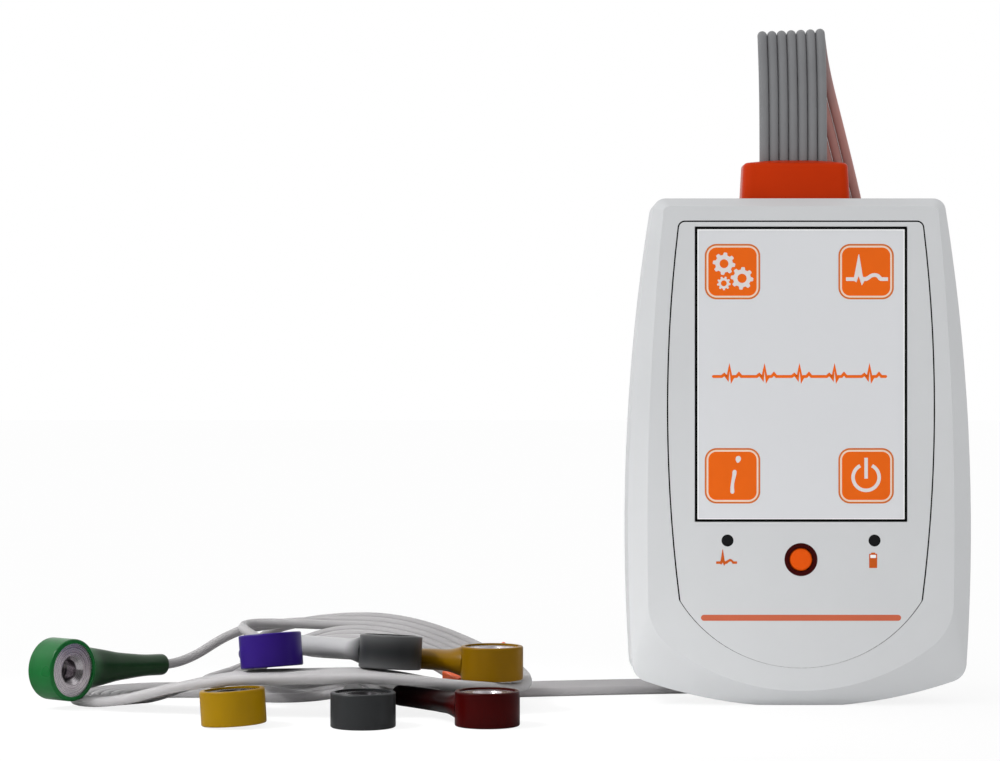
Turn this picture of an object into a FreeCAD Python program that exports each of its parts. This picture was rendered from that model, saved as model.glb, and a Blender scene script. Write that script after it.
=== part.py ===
import FreeCAD, Part
import math
import os

from FreeCAD import Vector as V

# A hand-held home ECG recorder that stands upright on its bottom edge, with a ribbon of seven lead
# wires plugged into its top and a snap connector on the end of each wire.
# Millimetres. +Z is up, the front faces -Y, the origin is on the floor under the middle of the case.

# ---------------------------------------------------------------- case
case_width = 68.8
case_height = 101.5
side_radius = 410.0          # both long sides bulge to this radius
side_mid = 35.0              # height of the widest place
bottom_radius = 96.0
foot_sag = 0.4               # how much of the bottom curve the flat foot takes off
top_corner = 2.5
bottom_corner = 3.8
wall = 2.0
front_wall = 2.0
back_wall = 2.4
bevel_side = 3.8             # width of the front bevel along the sides
bevel_top = 1.8
front_side_radius = 640.0    # the flat front's sides bulge less, so the bevel narrows towards the top
bevel_depth = 3.0
edge_round = 0.3             # at the silhouette, where the front bevel meets the sides
bevel_bottom_radius = 43.0   # the flat front's bottom arc
bevel_bottom = 3.1           # height of that arc's lowest point
bevel_corner = 11.0
bevel_top_corner = 1.2
back_bevel = 2.0
split_y = 1.0                # the plane where front and rear shell meet
seal_width = 0.8
seal_height = 0.8

# ---------------------------------------------------------------- face panel, display, button
panel_margin = 7.95          # from the widest place of the case to that of the panel
panel_side_radius = 304.0
panel_mid = 59.5
panel_top_margin = 4.9
panel_bottom = 7.7
panel_bottom_reach = 1.85    # radius of the panel's bottom arc, over half the panel's width
panel_top_corner = 1.2
panel_low_corner = 1.0
panel_thickness = 1.0
panel_gap = 0.3
panel_low_gap = 0.05         # the gap closes to this at the middle of the bottom arc
window_width = 42.2
window_height = 58.7
window_top_margin = 5.9      # from the case top to the window's top edge
window_gap = 0.1
view_rim = 1.6               # ledge of the front wall that the window rests on
display_rim = 1.7            # how far the display module reaches past the window
display_thickness = 2.4
foam_thickness = 0.4
tape_thickness = 0.3
board_thickness = 1.0
board_width = 44.0
board_bottom = 8.5
board_top_gap = 1.6          # from the top of the board to the lead socket
tape_side_inset = 4.0        # the tape stays this far inside the display's sides and foot
tape_top_gap = 2.0
flex_width = 16.0
flex_thickness = 0.2
flex_drop = 1.4              # how far the flex hangs below the display before it turns back
flex_root = 0.5              # how far in front of the display's back it starts

# Blocks on the back of the board: left, right, bottom, top and height of each.
board_chips = [(2.0, 12.0, 62.0, 72.0, 1.0), (14.5, 20.5, 66.0, 71.0, 0.9), (-18.0, -10.0, 66.0, 74.0, 1.2),
               (3.0, 9.0, 78.0, 84.0, 0.8), (13.0, 19.0, 16.0, 20.0, 1.5)]
board_chips += [(8.0 + 1.7 * i, 9.0 + 1.7 * i, 57.5, 59.5, 0.5) for i in range(7)]
memory_card_place = (-17.0, -6.0, 76.0, 87.0, 1.0)
shield_gap = 1.5             # from the battery bay to the radio's can
shield_right = 16.5
shield_bottom = 24.0
shield_top = 42.0
shield_height = 2.4
shield_wall = 0.3
buzzer_place = (12.5, 48.5)
buzzer_diameter = 9.0
buzzer_hole = 2.0
buzzer_hole_depth = 1.0
buzzer_height = 2.6

button_z = 29.3
button_diameter = 4.6
ring_diameter = 6.6
ring_bore = 4.8
ring_depth = 1.2
button_flange = 5.8
button_flange_thickness = 0.6
button_flange_gap = 0.1      # from the ring to the flange behind it
button_inset = 0.05          # the cap's face lies this far behind the panel's
button_edge_round = 0.5
button_travel = 0.5
switch_size = 6.0
switch_height = 2.3
plunger_diameter = 2.6
plunger_bore = 2.8
plunger_reach = 1.1          # how far the plunger stands in the switch at rest
plunger_end_gap = 0.3        # what is left behind it when it is pressed
lamp_x = 14.65
lamp_z = 33.1
lamp_diameter = 2.4
lamp_to_board = 1.0
diode_width = 2.0
diode_height = 1.4
diode_depth = 0.8

# ---------------------------------------------------------------- battery bay and its door
cell_diameter = 10.5
cell_length = 44.5
cell_gap = 0.3
spring_length = 3.2
plate_thickness = 0.4
bay_wall = 1.0
bay_bottom = 10.0
bay_clearance = 0.4          # from the board's back to the bay's floor
cell_rest = 0.1              # from the bay's floor to the cells
cell_to_door = 0.4
cell_nub_diameter = 3.8
cell_nub_height = 1.3
plate_size = 7.2
coil_radius = 2.9
coil_wire = 0.5
coil_turns = 3
coil_seat = 0.02             # from each end plate to the coil
door_thickness = 1.5
door_lap = 0.6               # how far the door reaches over the bay's rim
door_gap = 0.2
rib_width = 1.0
rib_length = 30.0
rib_to_cell = 0.1
tab_width = 6.0
tab_thickness = 0.8
tab_inset = 0.4              # from the bay's side wall to the tab
tab_reach = 1.6
hinge_radius = 1.6
hinge_clearance = 0.3
pin_diameter = 1.2
pin_clearance = 0.05
pin_seat = 1.5               # how far each end of the pin sits in the case
hinge_block_wall = 1.0
scoop_radius = 7.0
scoop_offset = 2.0           # the dip's middle lies this far past the door's free edge
scoop_lift = 6.0

# ---------------------------------------------------------------- fasteners
case_boss_diameter = 5.0
case_screw_diameter = 2.0
case_head_diameter = 3.6
case_head_height = 1.3
case_screw_length = 11.0
case_screw_low = (6.4, 16.0)     # in from the widest place of the case, and height
case_screw_high = (8.1, 93.0)
board_post_diameter = 4.0
board_screw_diameter = 1.6
board_head_diameter = 3.0
board_head_height = 0.9
board_screw_length = 3.6
board_hole_gap = 0.1         # round a screw's shank in the board
head_gap = 0.2               # round a board screw's head in the bay's floor
head_end_gap = 0.1           # over a screw's head
slot_width = 0.4             # the cross slot in a screw's head
slot_depth = 0.5
slot_share = 0.6             # of the head's diameter
board_posts = ((-18.5, 12.5), (18.5, 12.5), (-19.2, 30.5), (19.2, 30.5))

# ---------------------------------------------------------------- lead plug and its socket
plug_x = -0.5
plug_base_width = 22.2
plug_top_width = 21.2
plug_base_depth = 9.0
plug_top_depth = 8.0
plug_height = 7.5
plug_corner = 1.2
plug_rim_round = 0.7
block_width = 18.0
block_depth = 6.0
block_length = 7.5
socket_gap = 0.2
socket_wall = 1.2
socket_depth = 9.4
contact_count = 9
contact_pitch = 1.8
contact_pin = 0.8
contact_bore = 0.9
contact_tube = 1.4
contact_top = 0.8            # from the top of the case down to the contacts' tops
contact_bore_top = 2.8       # from there down to the ends of their bores
pin_top = 3.0                # and to the tips of the pins

# ---------------------------------------------------------------- lead wires and snaps
wire_count = 7
wire_diameter = 1.9
wire_pitch = 1.96
snap_radius = 6.15
snap_height = 6.6
snap_rim = 0.85              # thickness of the coloured rim round the metal socket
snap_recess = 0.35           # the metal lies this far below the rim
snap_floor = 1.3
snap_bore_radius = 2.0
snap_mouth_radius = 2.95
snap_mouth_depth = 1.1
snap_spring_wire = 0.5
snap_spring_seat = 0.05      # from the bore to the spring, and under it
snap_bore_floor = 0.5        # metal left under the bore
snap_groove_floor = 0.6      # metal left under the spring's groove
snap_groove_depth = 0.65     # how far the groove lies out of the bore
snap_groove_height = 0.6
neck_length = 22.0
neck_end_diameter = 4.1
neck_sink = 1.6              # how far the neck's root goes into the drum
# Sections of the neck: how far out of the drum, how wide along the metal face, and how high.
neck_sections = [(-neck_sink, 8.8, 6.1), (1.25, 8.2, 5.3), (3.2, 7.6, 4.4), (5.45, 6.9, 4.15),
                 (8.35, 5.9, 4.1), (12.15, 5.1, 4.1), (15.0, 4.6, 4.1), (18.5, 4.35, 4.1),
                 (neck_length, neck_end_diameter + 0.1, neck_end_diameter)]
neck_tip_round = 0.7
snap_edge_round = 0.35
neck_run = 6.0               # the wire runs straight this far before its neck
clip_length = 4.4
clip_wall = 0.9
clip_clearance = 0.55
clip_edge_round = 0.6

# ---------------------------------------------------------------- tools of the model
past = 1.0                   # a cutting tool runs this far past the face that it cuts
root = 0.5                   # a post or a boss starts this far inside the wall it stands on
lap = 0.1                    # a rib reaches this far into the plate it stands on

# The depth is what lies between the front and the back of the battery door.
stack = (front_wall, foam_thickness, display_thickness, tape_thickness, board_thickness,
         bay_clearance, bay_wall, cell_rest, cell_diameter, cell_to_door, door_thickness)
case_depth = sum(stack)
half = case_width / 2
front_y = -case_depth / 2
back_y = case_depth / 2

parts = {}


# ---------------------------------------------------------------- outlines
def unit(x, z):
    length = math.hypot(x, z)
    return x / length, z / length


def arc(a, m, b):
    return Part.Arc(a, m, b).toShape()


def outline(y, spec, inset=0.0):
    """Closed wire in the plane Y = y: straight top, bulging sides, round bottom, rounded corners."""
    side_r = spec["side_radius"] - inset
    side_cx = spec["half"] - spec["side_radius"]
    side_cz = spec["mid"]
    bottom_r = spec["bottom_radius"] - inset
    bottom_cz = spec["bottom"] + spec["bottom_radius"]
    top_z = spec["top"] - inset
    r_top = max(spec["r_top"] - inset, 0.4)
    r_low = max(spec["r_low"] - inset, 0.4)
    # the upper corner touches the top line and the side arc
    top_c = (side_cx + math.sqrt((side_r - r_top) ** 2 - (top_z - r_top - side_cz) ** 2), top_z - r_top)
    top_u = unit(top_c[0] - side_cx, top_c[1] - side_cz)
    # the lower corner touches the side arc and the bottom arc: its centre is where two circles meet
    dx, dz = -side_cx, bottom_cz - side_cz
    span = math.hypot(dx, dz)
    r1, r2 = side_r - r_low, bottom_r - r_low
    along = (span ** 2 + r1 ** 2 - r2 ** 2) / (2 * span)
    across = math.sqrt(r1 ** 2 - along ** 2)
    low_c = (side_cx + (along * dx + across * dz) / span, side_cz + (along * dz - across * dx) / span)
    side_u = unit(low_c[0] - side_cx, low_c[1] - side_cz)
    bottom_u = unit(low_c[0], low_c[1] - bottom_cz)
    mid_u = unit(side_u[0] + bottom_u[0], side_u[1] + bottom_u[1])
    diag_u = unit(top_u[0], top_u[1] + 1.0)
    side_mid_u = unit(top_u[0] + side_u[0], top_u[1] + side_u[1])

    right = [
        (low_c[0] + r_low * bottom_u[0], low_c[1] + r_low * bottom_u[1]),
        (low_c[0] + r_low * mid_u[0], low_c[1] + r_low * mid_u[1]),
        (low_c[0] + r_low * side_u[0], low_c[1] + r_low * side_u[1]),
        (side_cx + side_r * side_mid_u[0], side_cz + side_r * side_mid_u[1]),
        (top_c[0] + r_top * top_u[0], top_c[1] + r_top * top_u[1]),
        (top_c[0] + r_top * diag_u[0], top_c[1] + r_top * diag_u[1]),
        (top_c[0], top_z),
    ]
    r = [V(x, y, z) for x, z in right]
    m = [V(-x, y, z) for x, z in right]
    lowest = V(0, y, bottom_cz - bottom_r)
    edges = [arc(m[0], lowest, r[0])]
    edges += [arc(r[i], r[i + 1], r[i + 2]) for i in (0, 2, 4)]
    edges += [Part.LineSegment(r[6], m[6]).toShape()]
    edges += [arc(m[i], m[i - 1], m[i - 2]) for i in (6, 4, 2)]
    return Part.Wire(edges)


def prism(spec, y0, y1, inset=0.0):
    """The outline pushed straight from y0 to y1."""
    return Part.Face(outline(y0, spec, inset)).extrude(V(0, y1 - y0, 0))


def taper(spec0, y0, spec1, y1, inset0=0.0, inset1=0.0):
    """The solid between two outlines in parallel planes."""
    return Part.makeLoft([outline(y0, spec0, inset0), outline(y1, spec1, inset1)], True, True)


case_spec = dict(half=half, side_radius=side_radius, mid=side_mid, top=case_height,
                 bottom_radius=bottom_radius, bottom=-foot_sag, r_top=top_corner, r_low=bottom_corner)
front_half = half - bevel_side
front_spec = dict(half=front_half, side_radius=front_side_radius, mid=side_mid,
                  top=case_height - bevel_top, bottom_radius=bevel_bottom_radius,
                  bottom=bevel_bottom, r_top=bevel_top_corner, r_low=bevel_corner)
panel_half = half - panel_margin
panel_spec = dict(half=panel_half, side_radius=panel_side_radius, mid=panel_mid,
                  top=case_height - panel_top_margin, bottom_radius=panel_half + panel_bottom_reach,
                  bottom=panel_bottom, r_top=panel_top_corner, r_low=panel_low_corner)
recess_spec = dict(panel_spec, bottom=panel_bottom + panel_gap - panel_low_gap)


# ---------------------------------------------------------------- small makers
def box(x0, x1, y0, y1, z0, z1):
    return Part.makeBox(x1 - x0, y1 - y0, z1 - z0, V(x0, y0, z0))


def rod_y(x, z, radius, y0, y1):
    return Part.makeCylinder(radius, y1 - y0, V(x, y0, z), V(0, 1, 0))


def rod_z(x, y, radius, z0, z1):
    return Part.makeCylinder(radius, z1 - z0, V(x, y, z0), V(0, 0, 1))


def rounded_box(x0, x1, y0, y1, z0, z1, radius, axis):
    """A box whose four edges along the axis are rounded."""
    solid = box(x0, x1, y0, y1, z0, z1)
    edges = [e for e in solid.Edges
             if abs(abs(e.tangentAt(e.FirstParameter).dot(axis)) - 1) < 1e-6]
    return solid.makeFillet(radius, edges)


def fuse(first, *others):
    return first.fuse(list(others)).removeSplitter()


def cut(solid, *tools):
    return solid.cut(list(tools))


def add(name, *solids):
    """One node: a single solid, or a group of like solids."""
    flat = []
    for solid in solids:
        flat += solid.Solids
    shape = flat[0] if len(flat) == 1 else Part.makeCompound(flat)
    parts[name] = shape
    return shape


# ---------------------------------------------------------------- levels from front to back
inner_front_y = front_y + front_wall
display_front_y = inner_front_y + foam_thickness
display_back_y = display_front_y + display_thickness
board_front_y = display_back_y + tape_thickness
board_back_y = board_front_y + board_thickness
inner_back_y = back_y - back_wall

window_top = case_height - window_top_margin
window_bottom = window_top - window_height
display_half = window_width / 2 + display_rim
display_top = window_top + display_rim
display_bottom = window_bottom - display_rim

case_screws = [(sign * (half - inset), z) for inset, z in (case_screw_low, case_screw_high)
               for sign in (-1, 1)]
hinge_block_left = case_boss_diameter / 2 + 0.1 - (half - case_screw_low[0])
hinge_x = hinge_block_left + hinge_block_wall + hinge_radius
bay_left = hinge_x + hinge_radius + hinge_clearance + bay_wall
bay_width = 2 * cell_diameter + 3 * cell_gap
bay_right = bay_left + bay_width
bay_height = cell_length + spring_length + 2 * plate_thickness
bay_top = bay_bottom + bay_height
cell_radius = cell_diameter / 2
bay_floor_y = board_back_y + bay_clearance
cell_y = bay_floor_y + bay_wall + cell_rest + cell_radius
cell_x = [bay_right - cell_gap - cell_radius - i * (cell_diameter + cell_gap) for i in range(2)]

door_back_y = back_y
door_front_y = back_y - door_thickness
hinge_y = back_y - hinge_radius
door_right = bay_right + door_lap
door_bottom = bay_bottom - door_lap
door_top = bay_top + door_lap

plug_top = case_height + plug_height
socket_top = case_height - wall
socket_bottom = socket_top - socket_depth
board_top = socket_bottom - board_top_gap


# ---------------------------------------------------------------- case shells
def plug_opening(margin):
    """The slot in the top of the case that the plug's contact block goes down through."""
    w, d = block_width / 2 + margin, block_depth / 2 + margin
    return box(plug_x - w, plug_x + w, -d, d, socket_top - past, case_height + past)


def below_floor():
    return box(-case_width, case_width, -case_depth, case_depth, -case_depth, 0.0)


def seal_ring(y0, y1):
    margin = (wall - seal_width) / 2
    return cut(prism(case_spec, y0, y1, margin), prism(case_spec, y0, y1, margin + seal_width),
               plug_opening(socket_gap + wall / 2), below_floor())


def make_front_shell():
    bevel_y = front_y + bevel_depth
    outer = fuse(taper(front_spec, front_y, case_spec, bevel_y), prism(case_spec, bevel_y, split_y))
    crease = [e for e in outer.Edges
              if abs(e.BoundBox.YMin - bevel_y) + abs(e.BoundBox.YMax - bevel_y) < 1e-3]
    outer = outer.makeFillet(edge_round, crease)
    inner_bevel_y = inner_front_y + bevel_depth
    inner = fuse(taper(front_spec, inner_front_y, case_spec, inner_bevel_y, wall, wall),
                 prism(case_spec, inner_bevel_y, split_y + past, wall))
    shell = cut(outer, inner)
    # posts that the board is screwed to, and bosses that take the case screws
    posts = [rod_y(x, z, board_post_diameter / 2, inner_front_y - root, board_front_y)
             for x, z in board_posts]
    bosses = [rod_y(x, z, case_boss_diameter / 2, inner_front_y - root, split_y)
              for x, z in case_screws]
    shell = fuse(shell, *(post.common(outer) for post in posts + bosses))
    screw_tip = back_y - case_head_height - case_screw_length
    tools = [rod_y(x, z, case_screw_diameter / 2, screw_tip, split_y + past) for x, z in case_screws]
    post_tip = board_back_y - board_screw_length
    tools += [rod_y(x, z, board_screw_diameter / 2, post_tip, board_front_y + past)
              for x, z in board_posts]
    # recess for the face panel and the window, view opening, button and lamp holes
    tools.append(prism(recess_spec, front_y - past, front_y + panel_thickness, -panel_gap))
    view_half = window_width / 2 - view_rim
    tools.append(box(-view_half, view_half, front_y - past, inner_front_y + past,
                     window_bottom + view_rim, window_top - view_rim))
    tools.append(rod_y(0, button_z, ring_diameter / 2, front_y - past, inner_front_y + past))
    tools += [rod_y(sign * lamp_x, lamp_z, lamp_diameter / 2, front_y - past, inner_front_y + past)
              for sign in (-1, 1)]
    tools.append(plug_opening(socket_gap))
    tools.append(seal_ring(split_y - seal_height, split_y + past))
    tools.append(below_floor())
    add("front_shell", cut(shell, *tools))


def make_rear_shell():
    bevel_y = back_y - back_bevel
    outer = fuse(prism(case_spec, split_y, bevel_y),
                 taper(case_spec, bevel_y, case_spec, back_y, 0.0, back_bevel))
    shell = cut(outer, prism(case_spec, split_y - past, inner_back_y, wall))
    bay = box(bay_left - bay_wall, bay_right + bay_wall, bay_floor_y, inner_back_y,
              bay_bottom - bay_wall, bay_top + bay_wall)
    hinge_block = box(hinge_block_left, bay_left, hinge_y - hinge_radius - hinge_block_wall, inner_back_y,
                      door_bottom - pin_seat - hinge_block_wall, door_top + pin_seat + hinge_block_wall)
    bosses = [rod_y(x, z, case_boss_diameter / 2, split_y, inner_back_y) for x, z in case_screws]
    shell = fuse(shell, bay, hinge_block, *(boss.common(outer) for boss in bosses))
    tools = [rod_y(x, z, case_screw_diameter / 2, split_y - past, back_y + past) for x, z in case_screws]
    tools += [rod_y(x, z, case_head_diameter / 2, back_y - case_head_height, back_y + past)
              for x, z in case_screws]
    # the bay is open to the back, the door lies in a recess round it, its hinge in a round pocket
    tools.append(box(bay_left, bay_right, bay_floor_y + bay_wall, back_y + past, bay_bottom, bay_top))
    tools.append(box(hinge_x, door_right + door_gap, door_front_y, back_y + past,
                     door_bottom - door_gap, door_top + door_gap))
    pocket = hinge_radius + hinge_clearance
    tools.append(rod_z(hinge_x, hinge_y, pocket, door_bottom - door_gap, door_top + door_gap))
    tools.append(box(hinge_x - pocket, hinge_x, hinge_y, back_y + past,
                     door_bottom - door_gap, door_top + door_gap))
    tools.append(hinge_pin())
    tools.append(finger_scoop())
    # the bay's floor leaves room for the heads of the board's screws
    head_room = board_back_y + board_head_height + head_end_gap
    tools += [rod_y(x, z, board_head_diameter / 2 + head_gap, board_back_y, head_room)
              for x, z in board_posts]
    tools.append(plug_opening(socket_gap))
    tools.append(below_floor())
    add("rear_shell", cut(shell, *tools))


def make_shell_seal():
    add("shell_seal", seal_ring(split_y - seal_height, split_y))


# ---------------------------------------------------------------- battery door
def hinge_pin():
    return rod_z(hinge_x, hinge_y, pin_diameter / 2, door_bottom - pin_seat, door_top + pin_seat)


def finger_scoop():
    """A shallow round dip beside the door's free edge, for a fingernail."""
    middle = (door_bottom + door_top) / 2
    return Part.makeSphere(scoop_radius, V(door_right + scoop_offset, back_y + scoop_lift, middle))


def make_battery_door():
    plate = box(hinge_x, door_right, door_front_y, door_back_y, door_bottom, door_top)
    barrel = rod_z(hinge_x, hinge_y, hinge_radius, door_bottom, door_top)
    # two ribs press on the cells, and a tab springs behind the bay's rim
    middle = (door_bottom + door_top) / 2
    rib_front_y = cell_y + cell_radius + rib_to_cell
    ribs = [box(x - rib_width / 2, x + rib_width / 2, rib_front_y, door_front_y + lap,
                middle - rib_length / 2, middle + rib_length / 2) for x in cell_x]
    tab_right = bay_right - tab_inset
    tab = box(tab_right - tab_thickness, tab_right, door_front_y - tab_reach, door_front_y + lap,
              middle - tab_width / 2, middle + tab_width / 2)
    bore = rod_z(hinge_x, hinge_y, pin_diameter / 2 + pin_clearance, door_bottom - past, door_top + past)
    add("battery_door", cut(fuse(plate, barrel, tab, *ribs), bore, finger_scoop()))
    add("door_hinge_pin", hinge_pin())


# ---------------------------------------------------------------- batteries and their contacts
def make_batteries():
    """Two cells upright side by side, one each way up, each between a plate and a spring."""
    cells, springs, plates = [], [], []
    for i, x in enumerate(cell_x):
        up = i == 0
        low_end = bay_bottom + plate_thickness + (0.0 if up else spring_length)
        body_length = cell_length - cell_nub_height
        body_low = low_end + (cell_nub_height if up else 0.0)
        body = rod_z(x, cell_y, cell_radius, body_low, body_low + body_length)
        nub_low = low_end if up else low_end + body_length
        nub = rod_z(x, cell_y, cell_nub_diameter / 2, nub_low, nub_low + cell_nub_height)
        cells.append(fuse(body, nub))
        reach = plate_size / 2
        for low in (bay_bottom, bay_top - plate_thickness):
            plates.append(box(x - reach, x + reach, cell_y - reach, cell_y + reach,
                              low, low + plate_thickness))
        springs.append(coil(x, cell_y, low_end + cell_length if up else bay_bottom + plate_thickness))
    add("battery_cells", *cells)
    add("battery_springs", *springs)
    add("battery_contacts", *plates)


def coil(x, y, low):
    """A round-wire spring standing between a plate and a cell, as a helix in eighths of a turn."""
    start = low + coil_seat + coil_wire / 2
    rise = spring_length - coil_wire - 2 * coil_seat
    steps = 16 * coil_turns
    turn = 2 * math.pi * coil_turns / steps
    way = [V(x + coil_radius * math.cos(turn * i), y + coil_radius * math.sin(turn * i),
             start + rise * i / steps) for i in range(steps + 1)]
    path = Part.Wire([arc(*way[i:i + 3]) for i in range(0, steps, 2)])
    ring = Part.Wire([Part.makeCircle(coil_wire / 2, way[0], V(0, 1, 0))])
    return path.makePipeShell([ring], True, False)


# ---------------------------------------------------------------- front parts
def make_face_panel():
    plate = prism(panel_spec, front_y, front_y + panel_thickness)
    gap = window_gap
    behind = front_y + panel_thickness + past
    hole = box(-window_width / 2 - gap, window_width / 2 + gap, front_y - past, behind,
               window_bottom - gap, window_top + gap)
    tools = [rod_y(0, button_z, ring_diameter / 2, front_y - past, behind)]
    tools += [rod_y(sign * lamp_x, lamp_z, lamp_diameter / 2, front_y - past, behind)
              for sign in (-1, 1)]
    add("face_panel", cut(plate, hole, *tools))


def make_display():
    half_w = window_width / 2
    add("display_window", box(-half_w, half_w, front_y, front_y + panel_thickness,
                              window_bottom, window_top))
    view_half = half_w - view_rim
    view = box(-view_half, view_half, inner_front_y - past, display_front_y + past,
               window_bottom + view_rim, window_top - view_rim)
    frame = box(-display_half, display_half, inner_front_y, display_front_y, display_bottom, display_top)
    add("display_foam", cut(frame, view))
    add("display_module", box(-display_half, display_half, display_front_y, display_back_y,
                              display_bottom, display_top))
    tape_half = display_half - tape_side_inset
    add("display_tape", box(-tape_half, tape_half, display_back_y, board_front_y,
                            display_bottom + tape_side_inset, board_top - tape_top_gap))
    # the flex leaves the module's lower edge and turns back to the board
    flex_low = display_bottom - flex_drop
    flex_front_y = display_back_y - flex_root
    half_flex = flex_width / 2
    down = box(-half_flex, half_flex, flex_front_y, flex_front_y + flex_thickness, flex_low, display_bottom)
    back = box(-half_flex, half_flex, flex_front_y, board_front_y, flex_low - flex_thickness, flex_low)
    add("display_flex", fuse(down, back))


def make_button():
    ring_back = front_y + ring_depth
    ring = rod_y(0, button_z, ring_diameter / 2, front_y, ring_back)
    add("button_ring", cut(ring, rod_y(0, button_z, ring_bore / 2, front_y - past, ring_back + past)))
    flange_front = ring_back + button_flange_gap
    flange_back = flange_front + button_flange_thickness
    cap = fuse(rod_y(0, button_z, button_diameter / 2, front_y + button_inset, flange_back),
               rod_y(0, button_z, button_flange / 2, flange_front, flange_back))
    face = [e for e in cap.Edges if e.BoundBox.YMax < ring_back]
    add("event_button", cap.makeFillet(button_edge_round, face))
    # the switch stands on the board, and its plunger moves with the button
    switch_front = board_front_y - switch_height
    half_s = switch_size / 2
    base = box(-half_s, half_s, switch_front, board_front_y, button_z - half_s, button_z + half_s)
    plunger_back = switch_front + plunger_reach
    bore_back = plunger_back + button_travel + plunger_end_gap
    add("switch_body", cut(base, rod_y(0, button_z, plunger_bore / 2, switch_front - past, bore_back)))
    add("switch_plunger", rod_y(0, button_z, plunger_diameter / 2, flange_back, plunger_back))


def make_lamps():
    for name, sign in (("record_lamp_lens", -1), ("battery_lamp_lens", 1)):
        add(name, rod_y(sign * lamp_x, lamp_z, lamp_diameter / 2, front_y, board_front_y - lamp_to_board))
    half_w, half_h = diode_width / 2, diode_height / 2
    add("lamp_diodes", *(box(x - half_w, x + half_w, board_front_y - diode_depth, board_front_y,
                             lamp_z - half_h, lamp_z + half_h) for x in (-lamp_x, lamp_x)))


# ---------------------------------------------------------------- board
def make_board():
    plate = box(-board_width / 2, board_width / 2, board_front_y, board_back_y, board_bottom, board_top)
    hole_radius = board_screw_diameter / 2 + board_hole_gap
    holes = [rod_y(x, z, hole_radius, board_front_y - past, board_back_y + past)
             for x, z in board_posts]
    add("main_board", cut(plate, *holes))
    y = board_back_y
    add("board_components", *(box(x0, x1, y, y + height, z0, z1) for x0, x1, z0, z1, height in board_chips))
    can_left = bay_right + bay_wall + shield_gap
    can = box(can_left, shield_right, y, y + shield_height, shield_bottom, shield_top)
    space = box(can_left + shield_wall, shield_right - shield_wall,
                y - past, y + shield_height - shield_wall,
                shield_bottom + shield_wall, shield_top - shield_wall)
    add("radio_shield", cut(can, space))
    x, z = buzzer_place
    hole = rod_y(x, z, buzzer_hole / 2, y + buzzer_height - buzzer_hole_depth, y + buzzer_height + past)
    add("buzzer", cut(rod_y(x, z, buzzer_diameter / 2, y, y + buzzer_height), hole))
    x0, x1, z0, z1, height = memory_card_place
    add("memory_card", box(x0, x1, y, y + height, z0, z1))


# ---------------------------------------------------------------- screws
def screw(x, z, under_head_y, shank, length, head, head_height):
    """A pan-head screw driven from the back, with a cross slot."""
    body = fuse(rod_y(x, z, shank / 2, under_head_y - length, under_head_y),
                rod_y(x, z, head / 2, under_head_y, under_head_y + head_height))
    top = under_head_y + head_height
    long, short = head * slot_share / 2, slot_width / 2
    slots = [box(x - dx, x + dx, top - slot_depth, top + past, z - dz, z + dz)
             for dx, dz in ((long, short), (short, long))]
    return cut(body, *slots)


def make_screws():
    add("case_screws", *(screw(x, z, back_y - case_head_height, case_screw_diameter, case_screw_length,
                               case_head_diameter, case_head_height - head_end_gap)
                         for x, z in case_screws))
    add("board_screws", *(screw(x, z, board_back_y, board_screw_diameter, board_screw_length,
                                board_head_diameter, board_head_height) for x, z in board_posts))


# ---------------------------------------------------------------- lead socket and plug
def contact_x():
    return [plug_x + (i - (contact_count - 1) / 2) * contact_pitch for i in range(contact_count)]


def make_lead_socket():
    w, d = block_width / 2 + socket_gap, block_depth / 2 + socket_gap
    outer = box(plug_x - w - socket_wall, plug_x + w + socket_wall, -d - socket_wall, d + socket_wall,
                socket_bottom, socket_top)
    floor_z = socket_bottom + socket_wall
    inner = box(plug_x - w, plug_x + w, -d, d, floor_z, socket_top + past)
    pins = [rod_z(x, 0, contact_pin / 2, socket_bottom, case_height - pin_top) for x in contact_x()]
    add("lead_socket", cut(outer, inner, *pins))
    add("socket_pins", *pins)


def plug_section(width, depth, z):
    """A rectangle with rounded corners at height z."""
    w, d, r = width / 2, depth / 2, plug_corner
    k = r * (1 - math.sqrt(0.5))
    corners = []
    for sx, sy in ((1, -1), (1, 1), (-1, 1), (-1, -1)):
        a = V(plug_x + sx * (w - r), sy * d, z)
        m = V(plug_x + sx * (w - k), sy * (d - k), z)
        b = V(plug_x + sx * w, sy * (d - r), z)
        corners.append((a, m, b) if sx * sy < 0 else (b, m, a))
    edges = []
    for i, (a, m, b) in enumerate(corners):
        edges.append(arc(a, m, b))
        edges.append(Part.LineSegment(b, corners[(i + 1) % 4][0]).toShape())
    return Part.Wire(edges)


def make_plug():
    body = Part.makeLoft([plug_section(plug_base_width, plug_base_depth, case_height),
                          plug_section(plug_top_width, plug_top_depth, plug_top)], True, True)
    rim = [e for e in body.Edges if e.BoundBox.ZMin > plug_top - 1e-3]
    add("plug_body", body.makeFillet(plug_rim_round, rim))
    w, d = block_width / 2, block_depth / 2
    low = case_height - block_length
    block = box(plug_x - w, plug_x + w, -d, d, low, case_height)
    seats = [rod_z(x, 0, contact_tube / 2, low, case_height - contact_top) for x in contact_x()]
    add("plug_block", cut(block, *seats))
    bore_top = case_height - contact_bore_top
    add("plug_contacts", *(cut(seat, rod_z(x, 0, contact_bore / 2, low - past, bore_top))
                           for x, seat in zip(contact_x(), seats)))


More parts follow.
